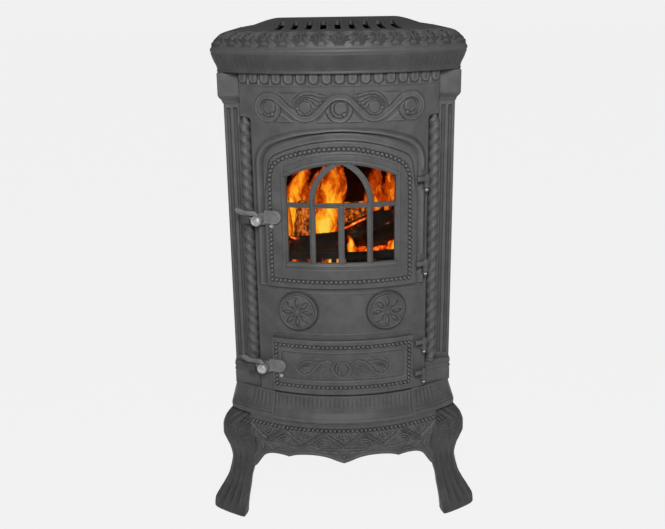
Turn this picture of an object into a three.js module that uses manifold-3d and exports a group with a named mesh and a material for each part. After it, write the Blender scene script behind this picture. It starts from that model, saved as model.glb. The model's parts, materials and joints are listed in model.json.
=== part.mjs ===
// Cast-iron potbelly stove with a bowed front: pierced domed lid, arched loading door with a
// gothic window, spin-damper air rosettes, ash door and pan, fluted corner posts, twisted
// columns, flared plinth and four cabriole legs. Millimetres, +Z up, front towards -Y.
import * as THREE from 'three';
import { mergeVertices } from 'three/addons/utils/BufferGeometryUtils.js';
import Module from 'manifold-3d';

const wasm = await Module();
wasm.setup();

// ---------------------------------------------------------------- driving dimensions
const GAP = 0.3; // clearance between neighbouring castings
const RAD = Math.PI / 180;

const BOW = { radius: 280, faceY: -201 }; // front casting: part of an upright cylinder
BOW.centreY = BOW.faceY + BOW.radius;

const WALL = 8; // casting thickness of the body plates
const BODY = { halfWidth: 187, depth: 375, corner: 12, bottomZ: 277, topZ: 813.7 };
BODY.backY = BOW.faceY + BODY.depth;

const TOP_PLATE = { z0: 806, z1: 813.7, hobRadius: 90, rebate: 96, hobDepth: 205 };
const LID = {
  skirtZ: 814, lipZ: 852, lipOut: 18, shoulder: 25, crown: 16.5, wall: 6.5,
  slots: 9, slotPitch: 24.6, slotWidth: 10.5, slotFront: 65, slotBack: 300,
};
const PLINTH = { z0: 229, z1: 276.7, flare: 12 };
const SKIRT = { z0: 190, z1: 228.7, outer: 12, inner: 5 };
const LIP_PANEL = { halfWidth: 122, z0: 230.5, z1: 276.9 }; // loose front centre of the plinth

const LOAD_DOOR = {
  halfWidth: 124.5, z0: 470, topZ: 724.5, arch: 238, shoulder: 32, hinges: [637, 495], latchZ: 581,
};
const ASH_DOOR = { halfWidth: 121, z0: 281, z1: 379, hinges: [356, 300], latchZ: 322 };
const DOOR = { back: 0.5, front: 7, lap: 10, ribOut: 13, ribIn: 21, ribDepth: 10 }; // off the bow
const WINDOW = { halfWidth: 86.5, z0: 514, topZ: 674.5, arch: 194, barZ: 605, springZ: 612.5 };
const TRACERY = { pointed: 67.7, bar: 9.5, mullion: 9, centreMullion: 10 };
const GLASS = { back: -7, front: -3, lap: 10 };

const HINGE = { x: 138.5, off: 9, pin: 3, bore: 3.4, knuckle: 5.5, half: 12 };
const LATCH = { angle: 25.4, bolt: 11.2, plate: 7.3, lever: 11.7, head: 16.6 };
const ROSETTE = { x: 73, z: 427.5, radius: 30, boss: 33, bossOff: 5, petals: 8, thick: 4 };

const POST = { x0: 162.5, face: 68, back: 92, capitalZ: 777, baseZ: 318, capitalOut: 8 };
const TWIST = { x: 154.5, depth: 60, radius: 8.3, strand: 1.6, period: 39, z0: 318.3, z1: 748 };
const LEG = { turn: 33, mirrorDepth: 436, rearInset: 14 };
const FLUE = { z: 730, bore: 52, wall: 4, flange: 78, length: 45.5 };
const BED = { z0: 455, z1: 470, halfWidth: 172, hole: 88, rebate: 96, holeFront: 100, holeBack: 295 };
const PAN = { halfWidth: 92, front: 62, back: 330, z0: 288, z1: 340, wall: 2 };
const ROD = { radius: 4, x: [150, 165], depth: [88, 350] };

// ---------------------------------------------------------------- materials
const IRON = { color: 0x4a4a4a, roughness: 0.72, metalness: 0.35 };
const IRON_LIGHT = { color: 0x565656, roughness: 0.7, metalness: 0.35 };
const IRON_DARK = { color: 0x2c2b2a, roughness: 0.85, metalness: 0.25 };
const STEEL = { color: 0xb8b8b6, roughness: 0.3, metalness: 0.9 };
const BRICK = { color: 0xb9a88c, roughness: 0.95, metalness: 0 };
const ROPE_SEAL = { color: 0x3a3a3a, roughness: 1, metalness: 0 };
const PANE = { color: 0xdfe4e6, roughness: 0.05, metalness: 0, transparent: true, opacity: 0.35 };

const stove = new THREE.Group();

function add(name, solidPiece, look) {
  const mesh = new THREE.Mesh(toGeometry(solidPiece), new THREE.MeshStandardMaterial(look));
  mesh.name = name;
  stove.add(mesh);
}

// ---------------------------------------------------------------- solids and booleans
function toSolid(geometry) {
  geometry.deleteAttribute('normal');
  geometry.deleteAttribute('uv');
  const merged = mergeVertices(geometry, 1e-4);
  const position = merged.attributes.position;
  const tri = [];
  let volume = 0;
  const a = new THREE.Vector3();
  const b = new THREE.Vector3();
  const c = new THREE.Vector3();
  for (let i = 0; i < merged.index.count; i += 3) {
    const [p, q, r] = [0, 1, 2].map((k) => merged.index.getX(i + k));
    if (p === q || q === r || r === p) continue;
    tri.push(p, q, r);
    a.fromBufferAttribute(position, p);
    b.fromBufferAttribute(position, q);
    c.fromBufferAttribute(position, r);
    volume += a.dot(b.cross(c));
  }
  if (volume < 0) {
    for (let i = 0; i < tri.length; i += 3) [tri[i], tri[i + 1]] = [tri[i + 1], tri[i]];
  }
  return new wasm.Manifold(new wasm.Mesh({
    numProp: 3,
    vertProperties: new Float32Array(position.array),
    triVerts: new Uint32Array(tri),
  }));
}

function toGeometry(piece) {
  const mesh = piece.getMesh();
  const geometry = new THREE.BufferGeometry();
  geometry.setAttribute('position', new THREE.BufferAttribute(new Float32Array(mesh.vertProperties), 3));
  geometry.setIndex(new THREE.BufferAttribute(new Uint32Array(mesh.triVerts), 1));
  geometry.computeVertexNormals();
  return geometry;
}

const join = (first, ...rest) => rest.reduce((sum, piece) => sum.add(piece), first);
const cut = (first, ...rest) => rest.reduce((left, piece) => left.subtract(piece), first);
const common = (first, second) => first.intersect(second);

// Depths are measured back from the front-most point of the bow.
const yAt = (depth) => BOW.faceY + depth;

// ---------------------------------------------------------------- profiles and sweeps
function polygon(points) {
  return new THREE.Shape(points.map(([x, y]) => new THREE.Vector2(x, y)));
}

function extrude(shape, depth, curveSegments = 12) {
  return new THREE.ExtrudeGeometry(shape, { depth, bevelEnabled: false, curveSegments });
}

// A plan shape (x, y) raised from z0 to z1.
function raised(shape, z0, z1, curveSegments) {
  return toSolid(extrude(shape, z1 - z0, curveSegments).translate(0, 0, z0));
}

// A front-view shape (x, z) that runs through the body from y0 to y1.
function through(shape, y0, y1, curveSegments) {
  const upright = new THREE.Matrix4().makeBasis(
    new THREE.Vector3(1, 0, 0), new THREE.Vector3(0, 0, 1), new THREE.Vector3(0, -1, 0));
  return toSolid(extrude(shape, y1 - y0, curveSegments).applyMatrix4(upright).translate(0, y1, 0));
}

// A side-view shape (y, z) that runs across the body from x0 to x1.
function across(shape, x0, x1, curveSegments) {
  const upright = new THREE.Matrix4().makeBasis(
    new THREE.Vector3(0, 1, 0), new THREE.Vector3(0, 0, 1), new THREE.Vector3(1, 0, 0));
  return toSolid(extrude(shape, x1 - x0, curveSegments).applyMatrix4(upright).translate(x0, 0, 0));
}

function block(x0, x1, y0, y1, z0, z1) {
  const box = new THREE.BoxGeometry(x1 - x0, y1 - y0, z1 - z0);
  return toSolid(box.translate((x0 + x1) / 2, (y0 + y1) / 2, (z0 + z1) / 2));
}

// A turned piece about an upright axis at (x, y): profile points are [radius, z].
function turned(profile, x, y, segments = 24) {
  const points = profile.map(([r, z]) => new THREE.Vector2(r, z));
  return toSolid(new THREE.LatheGeometry(points, segments).rotateX(Math.PI / 2).translate(x, y, 0));
}

// Skin through equal rings of points. A closed chain joins its last ring to the first;
// an open one is capped with flat ends.
function skin(rings, closed) {
  const count = rings[0].length;
  const vertices = rings.flat().flatMap((p) => [p.x, p.y, p.z]);
  const index = [];
  const spans = closed ? rings.length : rings.length - 1;
  for (let i = 0; i < spans; i += 1) {
    const lower = i * count;
    const upper = ((i + 1) % rings.length) * count;
    for (let j = 0; j < count; j += 1) {
      const k = (j + 1) % count;
      index.push(lower + j, lower + k, upper + k, lower + j, upper + k, upper + j);
    }
  }
  if (!closed) {
    const last = (rings.length - 1) * count;
    for (const [base, ring, flip] of [[0, rings[0], true], [last, rings.at(-1), false]]) {
      for (const [p, q, r] of triangulate(ring)) {
        index.push(base + p, base + (flip ? r : q), base + (flip ? q : r));
      }
    }
  }
  const geometry = new THREE.BufferGeometry();
  geometry.setAttribute('position', new THREE.Float32BufferAttribute(vertices, 3));
  geometry.setIndex(index);
  return toSolid(geometry);
}

// Triangles of a flat ring of points in space, in the ring's own winding.
function triangulate(ring) {
  const normal = new THREE.Vector3();
  ring.forEach((p, i) => normal.add(new THREE.Vector3().crossVectors(p, ring[(i + 1) % ring.length])));
  normal.normalize();
  const side = new THREE.Vector3().subVectors(ring[1], ring[0]).normalize();
  const up = new THREE.Vector3().crossVectors(normal, side);
  const flat = ring.map((p) => new THREE.Vector2(p.dot(side), p.dot(up)));
  return THREE.ShapeUtils.triangulateShape(flat, []);
}

// ---------------------------------------------------------------- the bowed front
// A band of the bow between two offsets from its face, for |x| up to halfWidth.
function bowBand(off0, off1, halfWidth, z0, z1, segments = 16) {
  const inner = BOW.radius + off0;
  const outer = BOW.radius + off1;
  const arc = (radius, from, to) => Array.from({ length: segments + 1 }, (_, i) => {
    const angle = from + ((to - from) * i) / segments;
    return [radius * Math.sin(angle), BOW.centreY - radius * Math.cos(angle)];
  });
  const a0 = Math.asin(halfWidth / inner);
  const a1 = Math.asin(halfWidth / outer);
  return raised(polygon([...arc(outer, -a1, a1), ...arc(inner, a0, -a0)]), z0, z1);
}

// The part of a bow band that a front-view shape covers.
function bowPiece(off0, off1, shape, curveSegments = 6) {
  const points = shape.getPoints(4);
  const xs = points.map((p) => Math.abs(p.x));
  const zs = points.map((p) => p.y);
  const band = bowBand(off0, off1, Math.max(...xs) + 4, Math.min(...zs) - 2, Math.max(...zs) + 2);
  return common(band, through(shape, yAt(-40), yAt(110), curveSegments));
}

// Local frame on the bow: u runs right along the face, v up, n straight out of the face.
function bowFrame(angle, z) {
  const u = new THREE.Vector3(Math.cos(angle), Math.sin(angle), 0);
  const n = new THREE.Vector3(Math.sin(angle), -Math.cos(angle), 0);
  const frame = new THREE.Matrix4().makeBasis(u, new THREE.Vector3(0, 0, 1), n);
  return frame.setPosition(
    BOW.radius * Math.sin(angle), BOW.centreY - BOW.radius * Math.cos(angle), z);
}

// A shape drawn in a local frame's (u, v), standing from n0 to n1.
function onFrame(frame, shape, n0, n1, curveSegments = 8) {
  return toSolid(extrude(shape, n1 - n0, curveSegments).translate(0, 0, n0).applyMatrix4(frame));
}

// A turned piece in a local frame: axis along n, profile points are [radius, n].
function turnedOnFrame(frame, profile, segments = 24) {
  const points = profile.map(([r, n]) => new THREE.Vector2(r, n));
  return toSolid(new THREE.LatheGeometry(points, segments).rotateX(Math.PI / 2).applyMatrix4(frame));
}

function disc(x, y, radius) {
  const shape = new THREE.Shape();
  shape.absarc(x, y, radius, 0, 2 * Math.PI);
  return shape;
}

function rectangle(x0, x1, y0, y1) {
  return polygon([[x0, y0], [x1, y0], [x1, y1], [x0, y1]]);
}

// ---------------------------------------------------------------- body outline
// The plan outline set out by `offset`, as points with a fixed order and count.
function outline(offset, steps = { front: 18, corner: 3, side: 1, back: 1 }) {
  const corner = BODY.corner;
  const cornerX = BODY.halfWidth - corner;
  const reach = BOW.radius - corner;
  const frontY = BOW.centreY - Math.sqrt(reach ** 2 - cornerX ** 2);
  const backY = BODY.backY - corner;
  const bowAngle = Math.asin(cornerX / reach);
  const points = [];
  const arc = (x, y, radius, from, to, count) => {
    for (let i = 0; i < count; i += 1) {
      const angle = from + ((to - from) * i) / count;
      points.push([x + radius * Math.sin(angle), y - radius * Math.cos(angle)]);
    }
  };
  const line = (x0, y0, x1, y1, count) => {
    for (let i = 0; i < count; i += 1) {
      points.push([x0 + ((x1 - x0) * i) / count, y0 + ((y1 - y0) * i) / count]);
    }
  };
  const edge = BODY.halfWidth + offset;
  arc(0, BOW.centreY, BOW.radius + offset, -bowAngle, bowAngle, steps.front);
  arc(cornerX, frontY, corner + offset, bowAngle, Math.PI / 2, steps.corner);
  line(edge, frontY, edge, backY, steps.side);
  arc(cornerX, backY, corner + offset, Math.PI / 2, Math.PI, steps.corner);
  line(cornerX, BODY.backY + offset, -cornerX, BODY.backY + offset, steps.back);
  arc(-cornerX, backY, corner + offset, Math.PI, 1.5 * Math.PI, steps.corner);
  line(-edge, backY, -edge, frontY, steps.side);
  arc(-cornerX, frontY, corner + offset, 1.5 * Math.PI, 2 * Math.PI - bowAngle, steps.corner);
  return points;
}

// A closed moulding profile of [offset, z] points carried round the body outline.
function moulding(profile, steps) {
  const rings = profile.map(([offset, z]) =>
    outline(offset, steps).map(([x, y]) => new THREE.Vector3(x, y, z)));
  return skin(rings, true);
}

// ---------------------------------------------------------------- door outlines (front view)
function archedOutline(halfWidth, z0, topZ, arch, shoulder, offset) {
  const w = halfWidth + offset;
  const centreZ = topZ - arch;
  const shoulderX = halfWidth - shoulder;
  const shoulderZ = centreZ + Math.sqrt((arch - shoulder) ** 2 - shoulderX ** 2);
  const lean = Math.atan2(shoulderZ - centreZ, shoulderX);
  const shape = new THREE.Shape();
  shape.moveTo(-w, z0 - offset);
  shape.lineTo(w, z0 - offset);
  shape.lineTo(w, shoulderZ);
  shape.absarc(shoulderX, shoulderZ, shoulder + offset, 0, lean, false);
  shape.absarc(0, centreZ, arch + offset, lean, Math.PI - lean, false);
  shape.absarc(-shoulderX, shoulderZ, shoulder + offset, Math.PI - lean, Math.PI, false);
  return shape;
}

function loadDoorShape(offset) {
  const { halfWidth, z0, topZ, arch, shoulder } = LOAD_DOOR;
  return archedOutline(halfWidth, z0, topZ, arch, shoulder, offset);
}

function ashDoorShape(offset) {
  const w = ASH_DOOR.halfWidth + offset;
  return rectangle(-w, w, ASH_DOOR.z0 - offset, ASH_DOOR.z1 + offset);
}

function windowShape(offset) {
  const { halfWidth, z0, topZ, arch } = WINDOW;
  const w = halfWidth + offset;
  const half = Math.asin((halfWidth - 4 + offset) / (arch + offset));
  const shape = new THREE.Shape();
  shape.moveTo(-w, z0 - offset);
  shape.lineTo(w, z0 - offset);
  shape.lineTo(w + 1, WINDOW.springZ);
  shape.absarc(0, topZ - arch, arch + offset, Math.PI / 2 - half, Math.PI / 2 + half, false);
  shape.lineTo(-w - 1, WINDOW.springZ);
  return shape;
}

// ---------------------------------------------------------------- hinges
const HINGE_ANGLE = Math.asin(HINGE.x / (BOW.radius + HINGE.off));
const HINGE_Y = BOW.centreY - (BOW.radius + HINGE.off) * Math.cos(HINGE_ANGLE);

// Knuckle about the hinge pin with an arm that reaches `reach` sideways (u) and `sink` inwards.
function hingeLug(z0, z1, reach, sink) {
  const frame = bowFrame(HINGE_ANGLE, 0);
  const arm = onFrame(frame, rectangle(reach[0], reach[1], z0, z1), sink[0], sink[1]);
  const knuckle = turned([[0, z0], [HINGE.knuckle, z0], [HINGE.knuckle, z1], [0, z1]], HINGE.x, HINGE_Y, 12);
  const bore = turned(
    [[0, z0 - 1], [HINGE.bore, z0 - 1], [HINGE.bore, z1 + 1], [0, z1 + 1]], HINGE.x, HINGE_Y, 8);
  return cut(join(arm, knuckle), bore);
}

const frameLug = (z) => hingeLug(z - HINGE.half, z - 0.2, [-3.5, 3.5], [-2, HINGE.off]);
const doorLug = (z) => hingeLug(z + 0.2, z + HINGE.half, [-25, 0], [HINGE.off - 3, HINGE.off + 3]);

function hingePin(z) {
  const top = z + HINGE.half + GAP;
  const bottom = z - HINGE.half - 2;
  const profile = [
    [0, bottom], [HINGE.pin - 0.8, bottom], [HINGE.pin, bottom + 1], [HINGE.pin, top],
    [4.6, top], [4.6, top + 2], [3, top + 3.4], [0, top + 3.4],
  ];
  return turned(profile, HINGE.x, HINGE_Y, 10);
}

// ---------------------------------------------------------------- front casting
function rosetteFrame(side) {
  return bowFrame(side * Math.asin(ROSETTE.x / BOW.radius), ROSETTE.z);
}

// Almond-shaped petals round a centre, `turn` radians on from the first position.
function petals(frame, turn, n0, n1) {
  const [inner, outer, swell] = [8.5, 25, 3.2];
  return Array.from({ length: ROSETTE.petals }, (_, i) => {
    const shape = new THREE.Shape();
    shape.moveTo(inner, 0);
    shape.quadraticCurveTo((inner + outer) / 2 + 2, 2 * swell, outer, 0);
    shape.quadraticCurveTo((inner + outer) / 2 + 2, -2 * swell, inner, 0);
    const petal = extrude(shape, n1 - n0, 2).translate(0, 0, n0);
    petal.rotateZ(turn + (i * 2 * Math.PI) / ROSETTE.petals);
    return toSolid(petal.applyMatrix4(frame));
  });
}

function frontPlate() {
  const half = 142.3;
  const plate = bowBand(-WALL, 0, half, BODY.bottomZ + GAP, BODY.topZ);
  const surround = cut(bowPiece(-2, 5.5, loadDoorShape(12)), bowPiece(-3, 7, loadDoorShape(1.5)));
  const belowDoor = block(-150, 150, yAt(-30), yAt(60), 440, LOAD_DOOR.z0 - 1.5);
  const bosses = [];
  const vents = [];
  for (const side of [-1, 1]) {
    const frame = rosetteFrame(side);
    const { boss, bossOff } = ROSETTE;
    bosses.push(turnedOnFrame(frame, [[0, -6], [boss, -6], [boss, bossOff - 1], [boss - 1, bossOff], [0, bossOff]], 24));
    vents.push(...petals(frame, Math.PI / ROSETTE.petals, -20, 12));
    vents.push(turnedOnFrame(frame, [[0, -20], [2.8, -20], [2.8, 12], [0, 12]], 10));
  }
  const lugs = [...LOAD_DOOR.hinges, ...ASH_DOOR.hinges].map(frameLug);
  const knuckleRoom = LOAD_DOOR.hinges.map((z) => turned(
    [[0, z - 15.5], [6.5, z - 15.5], [6.5, z + 17], [0, z + 17]], HINGE.x, HINGE_Y, 10));
  const whole = join(plate, cut(surround, belowDoor, ...knuckleRoom), ...bosses, ...lugs);
  const loadOpening = through(loadDoorShape(-DOOR.lap), yAt(-40), yAt(60));
  const ashOpening = through(rectangle(-108, 108, 287, 369), yAt(-40), yAt(60));
  return cut(whole, loadOpening, ashOpening, ...vents);
}

// ---------------------------------------------------------------- corner posts and columns
function mirrored(piece) {
  const geometry = toGeometry(piece).scale(-1, 1, 1);
  return toSolid(geometry);
}

function cornerPost() {
  const z0 = BODY.bottomZ + GAP;
  const { x0, face, back, capitalZ, baseZ, capitalOut } = POST;
  const x1 = BODY.halfWidth;
  const wall = raised(polygon([
    [137.8, yAt(48.6)], [143.6, yAt(48.6)], [143.6, yAt(71)], [x0 + 1, yAt(71)],
    [x0 + 1, yAt(78)], [137.8, yAt(78)],
  ]), z0, BODY.topZ);
  const shaft = raised(polygon([
    [x0, yAt(face)], [x1, yAt(face)], [x1, yAt(back)], [x0, yAt(back)],
  ]), z0, BODY.topZ);
  const flutes = [x0 + 6, x1 - 7.5].map((x) => {
    const groove = new THREE.Shape();
    const [low, high, r] = [baseZ + 10, capitalZ - 22, 3.3];
    groove.absarc(x, low, r, Math.PI, 2 * Math.PI, false);
    groove.absarc(x, high, r, 0, Math.PI, false);
    return through(groove, yAt(face - 5), yAt(face + 2.4), 6);
  });
  const capitalProfile = [
    [x1 + capitalOut, BODY.topZ], [x1 + capitalOut, capitalZ], [x1 + 6.5, capitalZ - 5],
    [x1 + 2, capitalZ - 10], [x1 + 0.5, capitalZ - 15],
  ];
  // The capital steps out in front and to the side by the same amounts.
  const rings = capitalProfile.map(([x, z]) => {
    const out = x - x1;
    return [
      [x0 - 2.5 * (out / capitalOut), yAt(face - out)], [x, yAt(face - out)],
      [x, yAt(back)], [x0 - 2.5 * (out / capitalOut), yAt(back)],
    ].map(([px, py]) => new THREE.Vector3(px, py, z));
  });
  const base = raised(polygon([
    [143.4, yAt(45)], [166, yAt(57)], [x1 + 1.5, yAt(64)], [x1 + 1.5, yAt(back)],
    [x0, yAt(back)], [x0, yAt(78)], [143.4, yAt(78)],
  ]), z0, baseZ);
  return join(cut(join(wall, shaft), ...flutes), skin(rings, false), base);
}

// Two strands twisted round each other; the right-hand column.
function twistColumn() {
  const { x, depth, radius, strand, period, z0, z1 } = TWIST;
  const sides = 6;
  const stepsPerTurn = 6;
  const count = Math.round(((z1 - z0) / period) * stepsPerTurn);
  const rings = Array.from({ length: count + 1 }, (_, i) => {
    const z = z0 + ((z1 - z0) * i) / count;
    const turn = (-2 * Math.PI * i) / stepsPerTurn;
    const taper = Math.min(1, 0.45 + (count - i) * 0.2);
    return Array.from({ length: sides }, (__, j) => {
      const angle = (2 * Math.PI * j) / sides + turn;
      const r = taper * (radius + strand * Math.cos(2 * (angle - turn)));
      return new THREE.Vector3(x + r * Math.cos(angle), yAt(depth) + r * Math.sin(angle), z);
    });
  });
  return skin(rings, false);
}

// ---------------------------------------------------------------- body plates
function sidePanel() {
  const [x0, x1] = [BODY.halfWidth - 10, BODY.halfWidth - 2];
  const [y0, y1] = [yAt(POST.back + GAP), yAt(366.7)];
  const [z0, z1] = [BODY.bottomZ + GAP, TOP_PLATE.z0 - GAP];
  const sheet = block(x0, x1, y0, y1, z0, z1);
  const frameIn = 26;
  const field = across(rectangle(y0 + frameIn, y1 - frameIn, z0 + 34, z1 - 34), x1 - 2.5, x1 + 2);
  const panel = across(rectangle(y0 + frameIn + 16, y1 - frameIn - 16, z0 + 50, z1 - 50), x1 - 3, x1);
  return join(cut(sheet, field), panel);
}

function backPanel() {
  const half = BODY.halfWidth - 2;
  const sheet = block(-half, half, yAt(367), BODY.backY, BODY.bottomZ + GAP, TOP_PLATE.z0 - GAP);
  const ribs = [-110, 110].map((x) => block(x - 4, x + 4, BODY.backY - 1, BODY.backY + 3, 300, 780));
  const hole = through(disc(0, FLUE.z, FLUE.bore), yAt(350), yAt(390), 16);
  return cut(join(sheet, ...ribs), hole);
}

function flueCollar() {
  const { bore, wall, flange, length } = FLUE;
  const frame = new THREE.Matrix4().makeBasis(
    new THREE.Vector3(-1, 0, 0), new THREE.Vector3(0, 0, 1), new THREE.Vector3(0, 1, 0));
  frame.setPosition(0, BODY.backY + GAP, FLUE.z);
  const end = length - GAP;
  return turnedOnFrame(frame, [
    [bore, 0], [flange, 0], [flange, 5], [flange - 2, 6], [bore + wall + 5, 7], [bore + wall, 12],
    [bore + wall, end - 7], [bore + wall + 2, end - 5], [bore + wall + 2, end], [bore, end], [bore, 0],
  ], 24);
}

function rodHoles(z0, z1, radius = ROD.radius + 0.6) {
  const holes = [];
  for (const [i, x] of ROD.x.entries()) {
    for (const side of [-1, 1]) {
      holes.push(turned([[0, z0], [radius, z0], [radius, z1], [0, z1]], side * x, yAt(ROD.depth[i]), 8));
    }
  }
  return holes;
}

// Plan of the plates that lie inside the walls: bowed in front, stepped round the posts.
function innerPlan(bowInset, sideX, backDepth) {
  const radius = BOW.radius - WALL - bowInset;
  const half = Math.asin(137.4 / radius);
  const front = Array.from({ length: 13 }, (_, i) => {
    const angle = -half + (2 * half * i) / 12;
    return [radius * Math.sin(angle), BOW.centreY - radius * Math.cos(angle)];
  });
  return polygon([
    ...front, [137.4, yAt(78.4)], [159.4, yAt(78.4)], [159.4, yAt(92.4)], [sideX, yAt(92.4)],
    [sideX, yAt(backDepth)], [-sideX, yAt(backDepth)], [-sideX, yAt(92.4)], [-159.4, yAt(92.4)],
    [-159.4, yAt(78.4)], [-137.4, yAt(78.4)],
  ]);
}

function topPlate() {
  const { z0, z1, hobRadius, rebate, hobDepth } = TOP_PLATE;
  const sheet = raised(innerPlan(GAP, BODY.halfWidth - 3, 374), z0, z1);
  const hob = turned([
    [0, z0 - 1], [hobRadius, z0 - 1], [hobRadius, z1 - 4.4], [rebate, z1 - 4.4],
    [rebate, z1 + 1], [0, z1 + 1],
  ], 0, yAt(hobDepth), 24);
  return cut(sheet, hob, ...rodHoles(z0 - 2, z1 + 2));
}

function hobLid() {
  const { z0, z1, hobRadius, rebate, hobDepth } = TOP_PLATE;
  const plug = turned([
    [0, z0 - 2], [hobRadius - 6, z0 - 2], [hobRadius - 0.5, z0 + 1], [hobRadius - 0.5, z1 - 4.1],
    [rebate - 0.5, z1 - 4.1], [rebate - 0.5, z1 + 1], [rebate - 2, z1 + 2], [rebate - 14, z1 + 2],
    [rebate - 16, z1 + 0.8], [18, z1 + 0.8], [16, z1 + 2], [0, z1 + 2],
  ], 0, yAt(hobDepth), 24);
  const lifter = block(-14, 14, yAt(hobDepth - 66), yAt(hobDepth - 56), z1 - 4, z1 + 4);
  return cut(plug, lifter);
}

// Height of the lid's upper face at a point, `inset` in from the lip.
function lidHeight(x, y, inset) {
  const shoulderCurve = 1 - Math.exp(-inset / 13);
  const depth = y - BOW.faceY;
  const climb = THREE.MathUtils.clamp((depth - 60) / 285, 0, 1) ** 4;
  const rise = climb * (1 - THREE.MathUtils.smoothstep(depth, 350, 400));
  const side = 1 - THREE.MathUtils.smoothstep(Math.abs(x), 106, 180);
  return LID.lipZ + LID.shoulder * shoulderCurve + LID.crown * side * rise;
}

function piercedLid() {
  const steps = { front: 12, corner: 3, side: 2, back: 3 };
  const { skirtZ, lipZ, lipOut, wall } = LID;
  const lip = outline(lipOut, steps);
  const centre = new THREE.Vector2(0, (BOW.faceY + BODY.backY) / 2);
  const reach = BODY.halfWidth + lipOut;
  const level = (offset, z) => outline(offset, steps).map(([x, y]) => new THREE.Vector3(x, y, z));
  const inward = (inset, drop) => lip.map(([x, y]) => {
    const s = 1 - inset / reach;
    const px = centre.x + s * (x - centre.x);
    const py = centre.y + s * (y - centre.y);
    return new THREE.Vector3(px, py, lidHeight(px, py, inset) - drop);
  });
  const rings = [
    ...[95, 20].map((inset) => inward(inset, wall)),
    level(lipOut - 9, lipZ - 8), level(lipOut - 7, lipZ - 18), level(0, skirtZ + 10), level(-3, skirtZ),
    level(7, skirtZ), level(9, skirtZ + 2.5), level(8.2, skirtZ + 5), level(9.5, skirtZ + 9),
    level(13, skirtZ + 16), level(16, skirtZ + 23), level(lipOut - 0.3, skirtZ + 29),
    level(lipOut + 0.5, lipZ - 4), level(lipOut - 0.5, lipZ - 1),
    ...[4, 12, 26, 52, 95].map((inset) => inward(inset, 0)),
  ];
  const dome = skin(rings, false);
  const slots = Array.from({ length: LID.slots }, (_, i) => {
    const x = (i - (LID.slots - 1) / 2) * LID.slotPitch;
    const r = LID.slotWidth / 2;
    const slot = new THREE.Shape();
    slot.absarc(x, yAt(LID.slotFront) + r, r, Math.PI, 2 * Math.PI, false);
    slot.absarc(x, yAt(LID.slotBack) - r, r, 0, Math.PI, false);
    return raised(slot, skirtZ + 20, lipZ + 60, 2);
  });
  return cut(dome, ...slots);
}

// ---------------------------------------------------------------- base, plinth and legs
function basePlate() {
  const sheet = raised(polygon(outline(-9)), 268, BODY.bottomZ);
  const rails = [-1, 1].map((side) =>
    block(side * 74 - 4, side * 74 + 4, yAt(50), yAt(345), BODY.bottomZ - 1, PAN.z0 - GAP));
  return cut(join(sheet, ...rails), ...rodHoles(260, 285));
}

function plinth() {
  const { z0, z1, flare } = PLINTH;
  const ring = moulding([
    [1.5, z1], [1.5, z1 - 7], [2.6, z1 - 15], [5.2, z1 - 26], [9, z1 - 35], [flare, z0 + 6],
    [flare, z0], [-8.4, z0], [-8.4, z1],
  ]);
  const notch = through(
    rectangle(-LIP_PANEL.halfWidth - 0.6, LIP_PANEL.halfWidth + 0.6, z0 - 1, z1 + 1), yAt(-30), yAt(60));
  const notchDepth = common(notch, bowBand(-3.4, 30, 160, z0 - 2, z1 + 2));
  return cut(ring, notchDepth);
}

function hearthLip() {
  const { halfWidth, z0, z1 } = LIP_PANEL;
  const profile = [
    [-3, z0], [15, z0], [15, z0 + 4], [12, z0 + 9], [8, z0 + 17], [5.2, z0 + 28], [4, z1 - 6],
    [4, z1 - 1], [3, z1], [-3, z1],
  ];
  const half = Math.asin(halfWidth / (BOW.radius + 15));
  const rings = Array.from({ length: 13 }, (_, i) => {
    const angle = -half + (2 * half * i) / 12;
    return profile.map(([off, z]) => new THREE.Vector3(
      (BOW.radius + off) * Math.sin(angle), BOW.centreY - (BOW.radius + off) * Math.cos(angle), z));
  });
  return skin(rings, false);
}

// Leg sections from the floor up: height, centre of the front face (x from the middle, depth
// from the bow), half width and thickness.
const LEG_SECTIONS = [
  { z: 0, x: 216, depth: 81, w: 32, t: 30 }, { z: 6, x: 217, depth: 78, w: 36, t: 35 },
  { z: 22, x: 216, depth: 78, w: 36.5, t: 35 }, { z: 38, x: 211, depth: 82, w: 33.5, t: 33 },
  { z: 54, x: 204.5, depth: 85.5, w: 29.5, t: 31 }, { z: 80, x: 196.5, depth: 84, w: 25, t: 29 },
  { z: 112, x: 188.5, depth: 73, w: 25.5, t: 30 }, { z: 130, x: 185.5, depth: 62, w: 28.5, t: 34 },
  { z: 145, x: 184.5, depth: 54, w: 32, t: 38 }, { z: 160, x: 187, depth: 49, w: 35, t: 42 },
  { z: 176, x: 191, depth: 47, w: 36, t: 44 }, { z: 192, x: 191, depth: 47, w: 35.5, t: 44 },
  { z: 207, x: 188.5, depth: 50, w: 33, t: 42 }, { z: 220, x: 184, depth: 56, w: 27, t: 36 },
  { z: 228.7, x: 180, depth: 66, w: 20, t: 27 },
];

// Section outline of a leg: four ridges in front, narrower behind; [share of half width, recess].
const LEG_FRONT = [
  [-1, 4], [-0.86, 0.4], [-0.58, 2.6], [-0.3, 0], [0, 2.6], [0.3, 0], [0.58, 2.6], [0.86, 0.4], [1, 4],
];

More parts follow.
